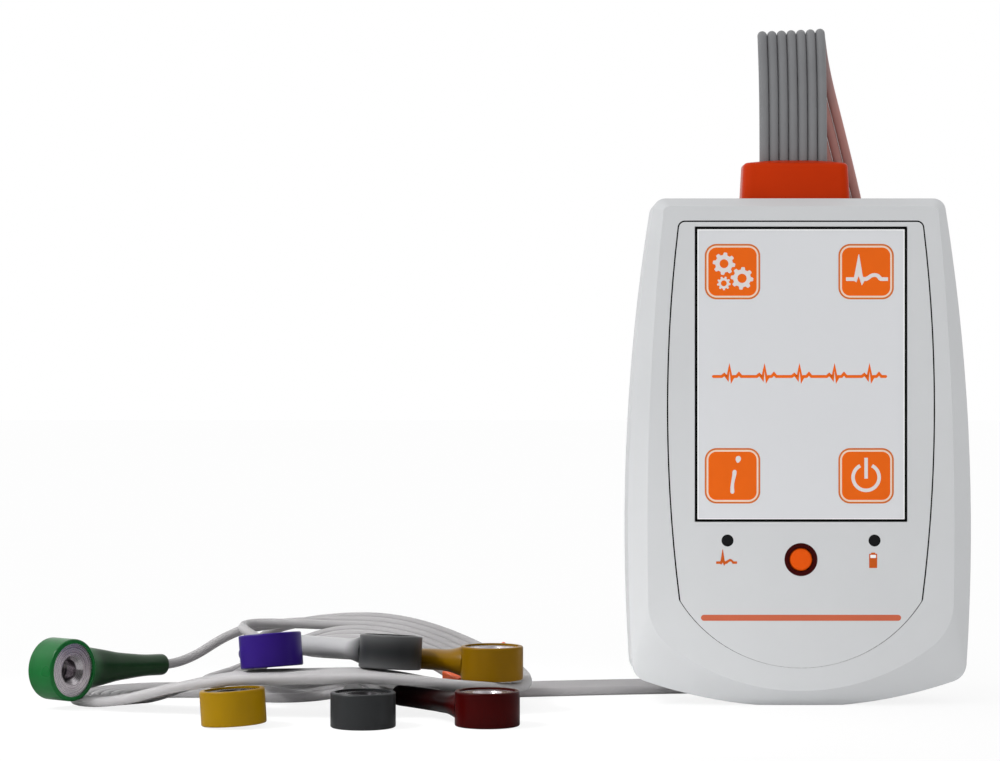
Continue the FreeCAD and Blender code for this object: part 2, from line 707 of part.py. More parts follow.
# ---------------------------------------------------------------- lead ribbon
# The middle line of the ribbon from the plug to where the wires part. Each row gives a point, the way
# the ribbon's face looks there, and how far apart the wires lie as a share of their pitch.
ribbon_route = [
    ((-0.5, 0.0, plug_top), (0, -1, 0), 1.0),
    ((-0.5, 0.0, plug_top + 9.0), (0, -1, 0), 1.0),
    ((-0.7, -0.5, plug_top + 18.5), (0, -1, 0), 1.0),
    ((-0.9, 0.1, plug_top + 26.4), (0, -1, 1), 1.0),
    ((-0.5, 4.6, plug_top + 26.4), (0, 1, 1), 1.0),
    ((1.0, 7.0, plug_top + 18.0), (0, 1, 0.3), 1.0),
    ((5.0, 10.6, plug_top + 4.5), (0, 1, 0.3), 1.0),
    ((8.8, 14.4, 100.0), (0, 1, 0.2), 1.0),
    ((12.6, 17.4, 84.0), (-0.12, 1, 0), 1.03),
    ((15.5, 18.6, 67.0), (-0.5, 1, 0), 1.04),
    ((17.6, 18.8, 49.5), (-1, 0.95, 0), 1.04),
    ((18.0, 18.6, 32.5), (-1, 0.42, 0), 1.04),
    ((16.0, 18.4, 17.5), (-1, 0.05, 0.1), 1.02),
    ((9.5, 18.3, 6.2), (-0.7, 0, 0.7), 1.0),
    ((-1.5, 18.5, 1.15), (-0.12, 0, 1), 1.0),
    ((-21.0, 19.2, 1.0), (0, 0, 1), 1.0),
    ((-43.0, 15.4, 1.0), (0, 0, 1), 1.0),
    ((-65.0, 10.0, 1.0), (0, 0, 1), 1.0),
    ((-87.0, 8.8, 1.0), (0, 0, 1), 1.0),
    ((-106.0, 10.1, 1.0), (0, 0, 1), 1.0),
    ((-119.5, 11.2, 1.0), (0, 0, 1), 1.0),
    ((-132.7, 11.1, 1.0), (0, 0, 1), 1.0),
    ((-140.0, 3.8, 1.0), (0, 0, 1), 1.0),
    ((-140.0, -6.6, 1.0), (0, 0, 1), 1.0),
    ((-132.7, -13.9, 1.6), (0.05, 0, 1), 1.0),
    ((-122.0, -17.5, 5.2), (0.02, 0, 1), 1.0),
    ((-111.0, -21.5, 7.15), (0, 0, 1), 1.0),
    ((-98.0, -23.7, 7.5), (0, 0, 1), 1.0),
    ((-84.0, -23.5, 7.8), (0, 0, 1), 1.0),
    ((-67.4, -22.1, 5.4), (-0.1, 0.05, 1), 1.0),
    ((-60.3, -15.0, 3.4), (-0.15, 0, 1), 1.0),
    ((-60.3, -4.8, 4.4), (-0.22, -0.28, 1), 1.0),
    ((-67.4, 2.6, 8.3), (-0.1, -0.35, 1), 1.0),
    ((-76.3, 6.7, 11.9), (0, -0.4, 1), 1.02),
    ((-85.4, 9.9, 13.5), (0, -0.42, 1), 1.03),
    ((-94.0, 12.5, 13.3), (0, -0.4, 1), 1.06),
]

# Each lead's own end, from where it leaves the ribbon to its snap: the points between, then the snap's
# centre, the way its metal face looks, and the way its neck points. Leads run from the ribbon's
# rear edge, number 0, to its front edge, number 6, at the place where they part.
lead_ends = {
    "violet": dict(lane=0, points=[(-101.5, 19.9, 14.4), (-108.8, 20.7, 12.4)],
                   centre=(-105.0, -18.1, 12.0), face=(-0.08, 0.10, 1.0), neck=(-0.25, 0.965, 0.0)),
    "green": dict(lane=1, points=[(-101.5, 17.1, 14.6), (-108.8, 16.3, 14.0), (-116.2, 17.7, 12.4)],
                  centre=(-146.8, -12.9, 7.75), face=(0.785, -0.62, 0.0), neck=(0.62, 0.785, -0.045)),
    "grey": dict(lane=2, points=[(-102.5, 14.7, 14.4), (-110.5, 14.1, 14.6), (-113.1, 11.3, 14.4),
                                 (-112.9, 7.3, 13.9)],
                 centre=(-81.5, -17.9, 11.7), face=(0.05, 0.07, 1.0), neck=(-0.78, 0.63, 0.0)),
    "yellow_upper": dict(lane=6, points=[(-97.9, 6.7, 10.8), (-100.3, 3.7, 10.3), (-98.8, -0.3, 9.9)],
                         centre=(-61.6, -18.1, 9.6), face=(0.0, 0.0, 1.0), neck=(-0.88, 0.475, 0.0)),
    "yellow_lower": dict(lane=3, points=[(-101.5, 12.9, 11.0), (-108.8, 13.5, 7.4), (-115.8, 11.9, 4.6),
                                         (-121.0, 6.5, 3.6), (-119.6, -0.3, 2.8)],
                         centre=(-110.2, -41.5, 3.7), face=(-0.06, 0.02, 1.0), neck=(-0.2, 0.98, 0.0)),
    "black": dict(lane=4, points=[(-102.5, 11.0, 9.4), (-110.4, 10.6, 6.0), (-115.1, 5.9, 4.4),
                                  (-115.1, -0.9, 2.6), (-110.4, -5.6, 1.4), (-102.5, -4.7, 1.05),
                                  (-95.0, -3.1, 1.4)],
                  centre=(-85.7, -42.5, 3.3), face=(0.0, 0.0, 1.0), neck=(-0.12, 0.993, 0.0)),
    "red": dict(lane=5, points=[(-100.6, 8.7, 10.2), (-106.3, 7.9, 8.0), (-109.4, 5.0, 6.2),
                                (-109.2, 1.7, 4.8), (-105.6, -0.7, 3.6), (-98.6, -0.9, 3.4),
                                (-92.2, -3.1, 5.2), (-87.4, -9.3, 5.2)],
                centre=(-62.4, -40.9, 3.35), face=(0.0, 0.0, 1.0), neck=(-0.62, 0.78, 0.0)),
}


def ribbon_points(lane):
    """The ribbon's middle line moved sideways to one wire. In a flat turn the step is mitred."""
    points = [V(*row[0]) for row in ribbon_route]
    shift = (lane - (wire_count - 1) / 2) * wire_pitch
    moved = []
    for i, (_, face, spread) in enumerate(ribbon_route):
        before = (points[i] - points[max(i - 1, 0)]) if i else points[1] - points[0]
        after = (points[i + 1] - points[i]) if i + 1 < len(points) else before
        before.normalize()
        after = V(after).normalize()
        along = (before + after).normalize()
        side = V(*face).cross(along).normalize()
        mitre = math.sqrt(max(1 - side.dot(after) ** 2, 0.25))
        moved.append(points[i] + side * (shift * spread / mitre))
    return moved


def neck_end(end):
    """Where the wire goes into the neck of its snap, and the way the neck points there."""
    way = V(*end["neck"])
    face = V(*end["face"]).normalize()
    way = (way - face * way.dot(face)).normalize()
    return V(*end["centre"]) + way * (snap_radius + neck_length), way


def lead_points(end):
    stop, way = neck_end(end)
    return ribbon_points(end["lane"]) + [V(*p) for p in end["points"]] + [stop + way * neck_run, stop]


def smooth_path(points):
    """Straight runs joined by tangent arcs, each as large as its two runs allow."""
    edges, radii, length = [], [], 0.0
    at = points[0]
    for i in range(1, len(points) - 1):
        back = points[i - 1] - points[i]
        on = points[i + 1] - points[i]
        reach = 0.45 * min(back.Length, on.Length)
        back.normalize()
        on.normalize()
        turn = math.pi - back.getAngle(on)
        start = points[i] + back * reach
        stop = points[i] + on * reach
        radius = reach / math.tan(turn / 2)
        depth = radius * (1 / math.cos(turn / 2) - 1)
        middle = points[i] + (back + on).normalize() * depth
        edges.append(Part.LineSegment(at, start).toShape())
        edges.append(arc(start, middle, stop))
        length += (start - at).Length + radius * turn
        radii.append(radius)
        at = stop
    edges.append(Part.LineSegment(at, points[-1]).toShape())
    length += (points[-1] - at).Length
    return Part.Wire(edges), radii, length


def tube(points):
    """A round solid of the wire's diameter along the path."""
    path, radii, length = smooth_path(points)
    start = (points[1] - points[0]).normalize()
    ring = Part.Wire([Part.makeCircle(wire_diameter / 2, points[0], start)])
    solid = path.makePipeShell([ring], True, False)
    return solid, radii, length


# ---------------------------------------------------------------- snap connector
def snap_frame(end):
    """Moves a snap from its own axes, face up and neck along +X, to its place."""
    _, way = neck_end(end)
    face = V(*end["face"]).normalize()
    across = face.cross(way)
    c = end["centre"]
    return FreeCAD.Matrix(way.x, across.x, face.x, c[0],
                          way.y, across.y, face.y, c[1],
                          way.z, across.z, face.z, c[2],
                          0, 0, 0, 1)


def neck_ring(x, width, height):
    """An upright ellipse across the neck, wider than it is high."""
    ring = Part.Wire([Part.Ellipse(V(0, 0, 0), width / 2, height / 2).toShape()])
    ring.rotate(V(0, 0, 0), V(0, 1, 0), 90)
    ring.rotate(V(0, 0, 0), V(1, 0, 0), 90)
    ring.translate(V(x, 0, 0))
    return ring


def snap_neck():
    """The neck flares out of the drum as a flat ellipse and ends nearly round, with a rounded tip."""
    tip = snap_radius + neck_length
    sections = [neck_ring(snap_radius + out, width, height) for out, width, height in neck_sections]
    neck = Part.makeLoft(sections, True, False)
    return neck.makeFillet(neck_tip_round, [e for e in neck.Edges if e.BoundBox.XMin > tip - 0.01])


def snap_housing():
    top = snap_height / 2
    body = Part.makeCylinder(snap_radius, snap_height, V(0, 0, -top), V(0, 0, 1))
    rims = [e for e in body.Edges if e.Curve.TypeId == "Part::GeomCircle"]
    body = body.makeFillet(snap_edge_round, rims)
    seat = Part.makeCylinder(snap_radius - snap_rim, snap_height, V(0, 0, -top + snap_floor), V(0, 0, 1))
    return cut(body.fuse(snap_neck()), seat)


def snap_socket():
    """The metal cup: a funnel mouth, a bore for the stud, and a groove for the spring wire."""
    low = -snap_height / 2 + snap_floor
    high = snap_height / 2 - snap_recess
    cup = Part.makeCylinder(snap_radius - snap_rim, high - low, V(0, 0, low), V(0, 0, 1))
    mouth = Part.makeCone(snap_bore_radius, snap_mouth_radius, snap_mouth_depth,
                          V(0, 0, high - snap_mouth_depth))
    lip = Part.makeCylinder(snap_mouth_radius, past, V(0, 0, high), V(0, 0, 1))
    bore = Part.makeCylinder(snap_bore_radius, high - low - snap_bore_floor, V(0, 0, low + snap_bore_floor),
                             V(0, 0, 1))
    groove = Part.makeCylinder(snap_bore_radius + snap_groove_depth, snap_groove_height,
                               V(0, 0, low + snap_groove_floor), V(0, 0, 1))
    return cut(cup, mouth, lip, bore, groove)


def snap_spring():
    """An open ring of spring wire in the groove of the cup."""
    half_wire = snap_spring_wire / 2
    low = -snap_height / 2 + snap_floor + snap_groove_floor + snap_spring_seat
    major = snap_bore_radius + snap_spring_seat + half_wire
    return Part.makeTorus(major, half_wire, V(0, 0, low + half_wire), V(0, 0, 1), -180, 180, 300)


def make_leads():
    springs = []
    for name, end in lead_ends.items():
        place = snap_frame(end)
        add("snap_" + name, snap_housing().transformed(place))
        add("snap_socket_" + name, snap_socket().transformed(place))
        springs.append(snap_spring().transformed(place))
        points = lead_points(end)
        solid, radii, length = tube(points)
        add("lead_" + name, solid)
        section = math.pi * wire_diameter ** 2 / 4
        print(f"lead_{name}: length {length:.0f}, least radii {[round(r, 1) for r in sorted(radii)[:5]]}, "
              f"volume share {solid.Volume / (section * length):.4f}, valid {solid.isValid()}")
    add("snap_springs", *springs)


def make_ribbon_clip():
    """A small sleeve that holds the seven wires side by side just before they part."""
    a, b = (V(*ribbon_route[i][0]) for i in (31, 32))
    face = V(*ribbon_route[31][1]) + V(*ribbon_route[32][1])
    along = (b - a).normalize()
    side = face.cross(along).normalize()
    up = along.cross(side)
    c = (a + b) * 0.5
    place = FreeCAD.Matrix(along.x, side.x, up.x, c.x, along.y, side.y, up.y, c.y,
                           along.z, side.z, up.z, c.z, 0, 0, 0, 1)
    w = (wire_pitch * (wire_count - 1) + wire_diameter) / 2 + clip_clearance
    h = wire_diameter / 2 + clip_clearance
    half_l = clip_length / 2
    outer = rounded_box(-half_l, half_l, -w - clip_wall, w + clip_wall, -h - clip_wall, h + clip_wall,
                        clip_edge_round, V(1, 0, 0))
    inner = box(-half_l - past, half_l + past, -w, w, -h, h)
    add("ribbon_clip", cut(outer, inner).transformed(place))


# ---------------------------------------------------------------- build
make_front_shell()
make_rear_shell()
make_shell_seal()
make_battery_door()
make_batteries()
make_face_panel()
make_display()
make_button()
make_lamps()
make_board()
make_screws()
make_lead_socket()
make_plug()
make_leads()
make_ribbon_clip()

os.makedirs("parts", exist_ok=True)
for name, shape in parts.items():
    shape.exportStep(f"parts/{name}.step")
    if not shape.isValid():
        print("not valid:", name)
print(len(parts), "nodes")
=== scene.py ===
import math

import bmesh
import bpy
import numpy as np
from mathutils import Matrix, Vector


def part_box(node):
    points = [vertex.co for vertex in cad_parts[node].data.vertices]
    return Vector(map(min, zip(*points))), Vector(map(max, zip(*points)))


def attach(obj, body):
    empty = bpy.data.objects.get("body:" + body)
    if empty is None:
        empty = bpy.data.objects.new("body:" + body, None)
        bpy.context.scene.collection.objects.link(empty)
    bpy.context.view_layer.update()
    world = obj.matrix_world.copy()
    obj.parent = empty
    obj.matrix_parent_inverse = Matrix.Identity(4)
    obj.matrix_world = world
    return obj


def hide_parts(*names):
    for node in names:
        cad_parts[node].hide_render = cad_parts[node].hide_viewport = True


# A hand-held home ECG recorder, its plug-in ribbon of seven lead wires, and a snap connector on
# each. Metres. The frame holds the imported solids: Z up, the screen faces -Y, and the origin lies
# under the case's middle.
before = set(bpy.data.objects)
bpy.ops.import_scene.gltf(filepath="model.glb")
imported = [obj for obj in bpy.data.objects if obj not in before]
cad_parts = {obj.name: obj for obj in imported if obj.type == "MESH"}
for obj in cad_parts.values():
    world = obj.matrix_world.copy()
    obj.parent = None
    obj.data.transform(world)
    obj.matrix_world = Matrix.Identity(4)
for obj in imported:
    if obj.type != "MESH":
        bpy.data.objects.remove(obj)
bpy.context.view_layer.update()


# ---------------------------------------------------------------- camera
# A level long-lens view from in front, with no shift and no depth of field: the case stands at the
# right, the lead ends lie at the left.
camera_place = (-0.0600, -0.5670, 0.0650)
sensor_width, lens_length = 36.0, 100.6        # in millimetres, as a lens is marked


def put_in_scene(name, data):
    """A new object that holds the data, linked into the scene."""
    made = bpy.data.objects.new(name, data)
    bpy.context.scene.collection.objects.link(made)
    return made


view = bpy.data.cameras.new("view")
view.sensor_width = sensor_width
view.lens = lens_length
view_holder = put_in_scene("view", view)
view_holder.location = camera_place
view_holder.rotation_euler = (math.radians(90.0), 0.0, 0.0)
bpy.context.scene.camera = view_holder


# ---------------------------------------------------------------- lead wires
# Seven limp wires in soft matt grey jackets, moulded side by side as a flat ribbon from the plug to
# where they part. Each one then runs on its own to the neck of its snap connector.
wire_pitch = 0.00196
wire_count = 7
wire_end_run = 0.006         # a wire lies straight this far before its neck
snap_radius = 0.00615
neck_length = 0.022
least_mitre = 0.5            # the smallest cosine that widens the ribbon's step at a corner
run_steps = 8                # a wire's steps from one of its points to the next
section_steps = 6            # and the steps of its round section

# The ribbon's middle line from the plug to where the wires part. Each row is a point, the way that
# the ribbon's face looks there, and how far its wires are spread.
ribbon_route = np.array([
    (-0.0005, 0.0, 0.109, 0, -1, 0, 1.0),
    (-0.0005, 0.0, 0.118, 0, -1, 0, 1.0),
    (-0.0007, -0.0005, 0.1275, 0, -1, 0, 1.0),
    (-0.0009, 0.0001, 0.1354, 0, -1, 1, 1.0),
    (-0.0005, 0.0046, 0.1354, 0, 1, 1, 1.0),
    (0.001, 0.007, 0.127, 0, 1, 0.3, 1.0),
    (0.005, 0.0106, 0.1135, 0, 1, 0.3, 1.0),
    (0.0088, 0.0144, 0.1, 0, 1, 0.2, 1.0),
    (0.0126, 0.0174, 0.084, -0.12, 1, 0, 1.03),
    (0.0155, 0.0186, 0.067, -0.5, 1, 0, 1.04),
    (0.0176, 0.0188, 0.0495, -1, 0.95, 0, 1.04),
    (0.018, 0.0186, 0.0325, -1, 0.42, 0, 1.04),
    (0.016, 0.0184, 0.0175, -1, 0.05, 0.1, 1.02),
    (0.0095, 0.0183, 0.0062, -0.7, 0, 0.7, 1.0),
    (-0.0015, 0.0185, 0.00115, -0.12, 0, 1, 1.0),
    (-0.021, 0.0192, 0.001, 0, 0, 1, 1.0),
    (-0.043, 0.0154, 0.001, 0, 0, 1, 1.0),
    (-0.065, 0.01, 0.001, 0, 0, 1, 1.0),
    (-0.087, 0.0088, 0.001, 0, 0, 1, 1.0),
    (-0.106, 0.0101, 0.001, 0, 0, 1, 1.0),
    (-0.1195, 0.0112, 0.001, 0, 0, 1, 1.0),
    (-0.1327, 0.0111, 0.001, 0, 0, 1, 1.0),
    (-0.14, 0.0038, 0.001, 0, 0, 1, 1.0),
    (-0.14, -0.0066, 0.001, 0, 0, 1, 1.0),
    (-0.1327, -0.0139, 0.0016, 0.05, 0, 1, 1.0),
    (-0.122, -0.0175, 0.0052, 0.02, 0, 1, 1.0),
    (-0.111, -0.0215, 0.00715, 0, 0, 1, 1.0),
    (-0.098, -0.0237, 0.0075, 0, 0, 1, 1.0),
    (-0.084, -0.0235, 0.0078, 0, 0, 1, 1.0),
    (-0.0674, -0.0221, 0.0054, -0.1, 0.05, 1, 1.0),
    (-0.0603, -0.015, 0.0034, -0.15, 0, 1, 1.0),
    (-0.0603, -0.0048, 0.0044, -0.22, -0.28, 1, 1.0),
    (-0.0674, 0.0026, 0.0083, -0.1, -0.35, 1, 1.0),
    (-0.0763, 0.0067, 0.0119, 0, -0.4, 1, 1.02),
    (-0.0854, 0.0099, 0.0135, 0, -0.42, 1, 1.03),
    (-0.094, 0.0125, 0.0133, 0, -0.4, 1, 1.06),
])

# Each wire's own end: its place in the ribbon, counted from the rear edge, the points it passes,
# then its snap's middle, the way the metal face looks and the way the neck points.
lead_ends = {
    "violet": dict(
        lane=0, centre=(-0.105, -0.0181, 0.012), face=(-0.08, 0.1, 1.0), neck=(-0.25, 0.965, 0.0),
        points=[(-0.1015, 0.0199, 0.0144), (-0.1088, 0.0207, 0.0124)]),
    "green": dict(
        lane=1, centre=(-0.1468, -0.0129, 0.00775), face=(0.785, -0.62, 0.0),
        neck=(0.62, 0.785, -0.045),
        points=[(-0.1015, 0.0171, 0.0146), (-0.1088, 0.0163, 0.014), (-0.1162, 0.0177, 0.0124)]),
    "grey": dict(
        lane=2, centre=(-0.0815, -0.0179, 0.0117), face=(0.05, 0.07, 1.0), neck=(-0.78, 0.63, 0.0),
        points=[(-0.1025, 0.0147, 0.0144), (-0.1105, 0.0141, 0.0146), (-0.1131, 0.0113, 0.0144),
                (-0.1129, 0.0073, 0.0139)]),
    "yellow_upper": dict(
        lane=6, centre=(-0.0616, -0.0181, 0.0096), face=(0.0, 0.0, 1.0), neck=(-0.88, 0.475, 0.0),
        points=[(-0.0979, 0.0067, 0.0108), (-0.1003, 0.0037, 0.0103), (-0.0988, -0.0003, 0.0099)]),
    "yellow_lower": dict(
        lane=3, centre=(-0.1102, -0.0415, 0.0037), face=(-0.06, 0.02, 1.0), neck=(-0.2, 0.98, 0.0),
        points=[(-0.1015, 0.0129, 0.011), (-0.1088, 0.0135, 0.0074), (-0.1158, 0.0119, 0.0046),
                (-0.121, 0.0065, 0.0036), (-0.1196, -0.0003, 0.0028)]),
    "black": dict(
        lane=4, centre=(-0.0857, -0.0425, 0.0033), face=(0.0, 0.0, 1.0), neck=(-0.12, 0.993, 0.0),
        points=[(-0.1025, 0.011, 0.0094), (-0.1104, 0.0106, 0.006), (-0.1151, 0.0059, 0.0044),
                (-0.1151, -0.0009, 0.0026), (-0.1104, -0.0056, 0.0014), (-0.1025, -0.0047, 0.00105),
                (-0.095, -0.0031, 0.0014)]),
    "red": dict(
        lane=5, centre=(-0.0624, -0.0409, 0.00335), face=(0.0, 0.0, 1.0), neck=(-0.62, 0.78, 0.0),
        points=[(-0.1006, 0.0087, 0.0102), (-0.1063, 0.0079, 0.008), (-0.1094, 0.005, 0.0062),
                (-0.1092, 0.0017, 0.0048), (-0.1056, -0.0007, 0.0036), (-0.0986, -0.0009, 0.0034),
                (-0.0922, -0.0031, 0.0052), (-0.0874, -0.0093, 0.0052)]),
}


def unit(vectors):
    """Each row divided by its own length."""
    return vectors / np.linalg.norm(vectors, axis=-1, keepdims=True)


def runs_beside(points):
    """The direction of the run before each point and of the run after it. The first point has its
    one run on both sides, and so has the last."""
    runs = unit(np.diff(points, axis=0))
    return np.vstack([runs[:1], runs]), np.vstack([runs, runs[-1:]])


def ribbon_points(lane):
    """The ribbon's middle line moved sideways to one wire. Sideways is the cross product of the
    face and the mean of the runs before and after a point, and the step is divided by the cosine
    of the mitre."""
    points, faces, spread = ribbon_route[:, :3], ribbon_route[:, 3:6], ribbon_route[:, 6:]
    before, after = runs_beside(points)
    side = unit(np.cross(faces, unit(before + after)))
    lean = np.sum(side * after, axis=1, keepdims=True)
    mitre = np.sqrt(np.maximum(1 - lean ** 2, least_mitre ** 2))
    lanes_aside = lane - (wire_count - 1) / 2
    return points + side * (lanes_aside * wire_pitch * spread / mitre)


def snap_axes(end):
    """A snap's centre, and its own axes: along the neck, across it, and out of the metal face."""
    face = unit(np.array(end["face"]))
    neck = np.array(end["neck"])
    neck = unit(neck - face * neck.dot(face))
    return np.array(end["centre"]), neck, np.cross(face, neck), face


def shade(tree, kind, inputs=None, **settings):
    """Adds one shader node. Each input is given by its name or number, as a value or as another
    node's output."""
    made = tree.nodes.new(kind)
    for name, value in settings.items():
        setattr(made, name, value)
    for name, value in (inputs or {}).items():
        if isinstance(value, bpy.types.NodeSocket):
            tree.links.new(value, made.inputs[name])
        elif isinstance(value, tuple) and len(value) == 3 and made.inputs[name].type == "RGBA":
            made.inputs[name].default_value = (*value, 1.0)
        else:
            made.inputs[name].default_value = value
    return made


def bare_tree(owner):
    """The node tree of a material or of the world, with no nodes in it."""
    owner.use_nodes = True
    owner.node_tree.nodes.clear()
    return owner.node_tree


def new_material(name):
    """A material to be filled: itself, its bare tree, and the place of a point on the object."""
    material = bpy.data.materials.new(name)
    tree = bare_tree(material)
    return material, tree, shade(tree, "ShaderNodeTexCoord").outputs["Object"]


def parts_of(tree, vector):
    """The three numbers of a vector."""
    return shade(tree, "ShaderNodeSeparateXYZ", {"Vector": vector}).outputs


def noise(tree, place, scale, detail):
    """A cloudy noise from 0 to 1, with about so many clouds to the metre and finer ones on them."""
    inputs = {"Vector": place, "Scale": scale, "Detail": detail}
    return shade(tree, "ShaderNodeTexNoise", inputs).outputs["Fac"]


def span(tree, value, start=(0.0, 1.0), end=(0.0, 1.0)):
    """A value carried in a straight line from the start range to the end one, and held at both."""
    inputs = {"Value": value, "From Min": start[0], "From Max": start[1],
              "To Min": end[0], "To Max": end[1]}
    return shade(tree, "ShaderNodeMapRange", inputs).outputs["Result"]


def reckoned(tree, operation, first, second):
    """One number worked out of two."""
    made = shade(tree, "ShaderNodeMath", {0: first, 1: second}, operation=operation)
    return made.outputs["Value"]


def ramp(tree, factor, *stops, interpolation="LINEAR"):
    """The colour that a factor reaches on a line of (place, colour) stops."""
    made = shade(tree, "ShaderNodeValToRGB", {"Fac": factor})
    made.color_ramp.interpolation = interpolation
    line = made.color_ramp.elements
    for i, (at, colour) in enumerate(stops):
        stop = line[i] if i < 2 else line.new(at)
        stop.position = at
        stop.color = (*colour, 1.0)
    return made.outputs["Color"]


def dimmed(colour, share):
    """A colour at a share of its strength."""
    return tuple(c * share for c in colour)


def blended(tree, factor, first, second):
    """A colour that turns from the first to the second as the factor goes from 0 to 1."""
    return shade(tree, "ShaderNodeMix", {"Factor": factor, "A": first, "B": second},
                 data_type="RGBA").outputs["Result"]


def bump(tree, height, strength, depth):
    """The slope that a height between 0 and 1 gives a surface, over a depth in metres."""
    inputs = {"Height": height, "Strength": strength, "Distance": depth}
    return shade(tree, "ShaderNodeBump", inputs).outputs["Normal"]


def surfaced(material, inputs):
    """Gives a material its one surface shader, with these inputs."""
    tree = material.node_tree
    skin = shade(tree, "ShaderNodeBsdfPrincipled", inputs)
    shade(tree, "ShaderNodeOutputMaterial", {"Surface": skin.outputs["BSDF"]})
    return material


def jacket(name, shaded_near_plug, near_snaps, painted_plug_glow):
    """Matt flexible PVC with painted shade that makes it darker by the plug than at the far end,
    and a painted orange glow, the plug's reflected light, where it faces the plug from behind. It
    has a drift of tone, a fine pebble from the extruder in the bump, and faint dull patches."""
    material, tree, place = new_material(name)
    where = parts_of(tree, place)
    # painted shade: the grey darkens with height, towards the plug
    rise = span(tree, where["Z"], start=(0.02, 0.11))
    base = ramp(tree, rise, (0.0, near_snaps), (1.0, shaded_near_plug))
    drift = noise(tree, place, scale=90.0, detail=3.0)
    tint = ramp(tree, drift, (0.3, (0.90, 0.90, 0.90)), (0.7, (1.0, 1.0, 1.0)))
    grey = shade(tree, "ShaderNodeVectorMath", {0: base, 1: tint}, operation="MULTIPLY")
    # painted reflection: the plug's orange light, on the sides that face it from behind and above
    # the case
    behind = span(tree, where["Y"], start=(0.003, 0.008))
    above = span(tree, where["Z"], start=(0.070, 0.102), end=(0.0, 0.75))
    normal = shade(tree, "ShaderNodeTexCoord").outputs["Normal"]
    facing = span(tree, parts_of(tree, normal)["Y"], start=(0.5, 0.0))
    painted_glow_share = reckoned(tree, "MULTIPLY", reckoned(tree, "MULTIPLY", behind, above), facing)
    pebble = noise(tree, place, scale=6000.0, detail=2.0)
    return surfaced(material, {
        "Base Color": blended(tree, painted_glow_share, grey.outputs["Vector"], painted_plug_glow),
        "Roughness": span(tree, drift, end=(0.46, 0.62)),
        "Normal": bump(tree, pebble, strength=0.15, depth=3e-5),
        "Specular IOR Level": 0.25, "Sheen Weight": 0.05})


def wire(name, points):
    """A round wire along the smooth NURBS line of the points."""
    line = bpy.data.curves.new(name, "CURVE")
    line.dimensions = "3D"
    run = line.splines.new("NURBS")
    run.points.add(len(points) - 1)
    run.points.foreach_set("co", np.hstack([points, np.ones((len(points), 1))]).ravel())
    run.order_u = 3
    run.use_endpoint_u = True
    run.resolution_u = run_steps
    line.bevel_depth = wire_pitch / 2          # side by side in the ribbon, the jackets touch
    line.bevel_resolution = section_steps
    line.use_fill_caps = True
    return put_in_scene(name, line)


# the darker grey by the plug is painted shade, and the rear tone is a painted orange glow, the
# plug's reflected light
wire_jacket = jacket("lead_jacket", shaded_near_plug=(0.215, 0.218, 0.226),
                     near_snaps=(0.325, 0.317, 0.321), painted_plug_glow=(0.530, 0.225, 0.190))
wires = {}
for name, end in lead_ends.items():
    centre, neck, _, _ = snap_axes(end)
    stop = centre + neck * (snap_radius + neck_length)
    points = np.vstack([ribbon_points(end["lane"]), end["points"],
                        stop + neck * wire_end_run, stop])
    wires[name] = wire("wire_" + name, points)
    wires[name].data.materials.append(wire_jacket)
    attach(wires[name], "case")
    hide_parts("lead_" + name)


# ---------------------------------------------------------------- snap connectors
# Seven round housings of satin coloured plastic, each moulded over the end of its wire as one
# piece with a long flaring neck. The colour of each tells the wearer where its electrode goes.
neck_fade = 0.0035           # over this length the drum's colour turns to the neck's


def moulded_plastic(name, colour, roughness=0.38, grain=2500.0, relief=0.12, mottle=0.05,
                    gloss=0.5, centre=(0.0, 0.0, 0.0), outer=None):
    """Moulded plastic: a faint cloudiness in the colour, a fine spark-eroded grain in the bump, and
    slightly duller patches where it has been handled. With an outer colour, the painted light and
    shade of a snap's neck, it turns to that further than a snap's radius from the centre."""
    material, tree, place = new_material(name)
    cloud = noise(tree, place, scale=70.0, detail=4.0)
    tone = ramp(tree, cloud, (0.32, dimmed(colour, 1 - mottle)), (0.68, dimmed(colour, 1 + mottle)))
    if outer:
        away = shade(tree, "ShaderNodeVectorMath", {0: place, 1: tuple(centre)},
                     operation="DISTANCE").outputs["Value"]
        beyond = span(tree, away, start=(snap_radius, snap_radius + neck_fade))
        tone = blended(tree, beyond, tone, outer)
    pits = noise(tree, place, scale=grain, detail=2.0)
    handled = noise(tree, place, scale=180.0, detail=1.0)
    return surfaced(material, {
        "Base Color": tone,
        "Roughness": span(tree, handled, start=(0.2, 0.8),
                          end=(roughness - 0.03, roughness + 0.05)),
        "Normal": bump(tree, pits, strength=relief, depth=4e-5),
        "Specular IOR Level": gloss})


def finish_node(node, material):
    """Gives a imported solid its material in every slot."""
    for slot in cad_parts[node].material_slots:
        slot.material = material


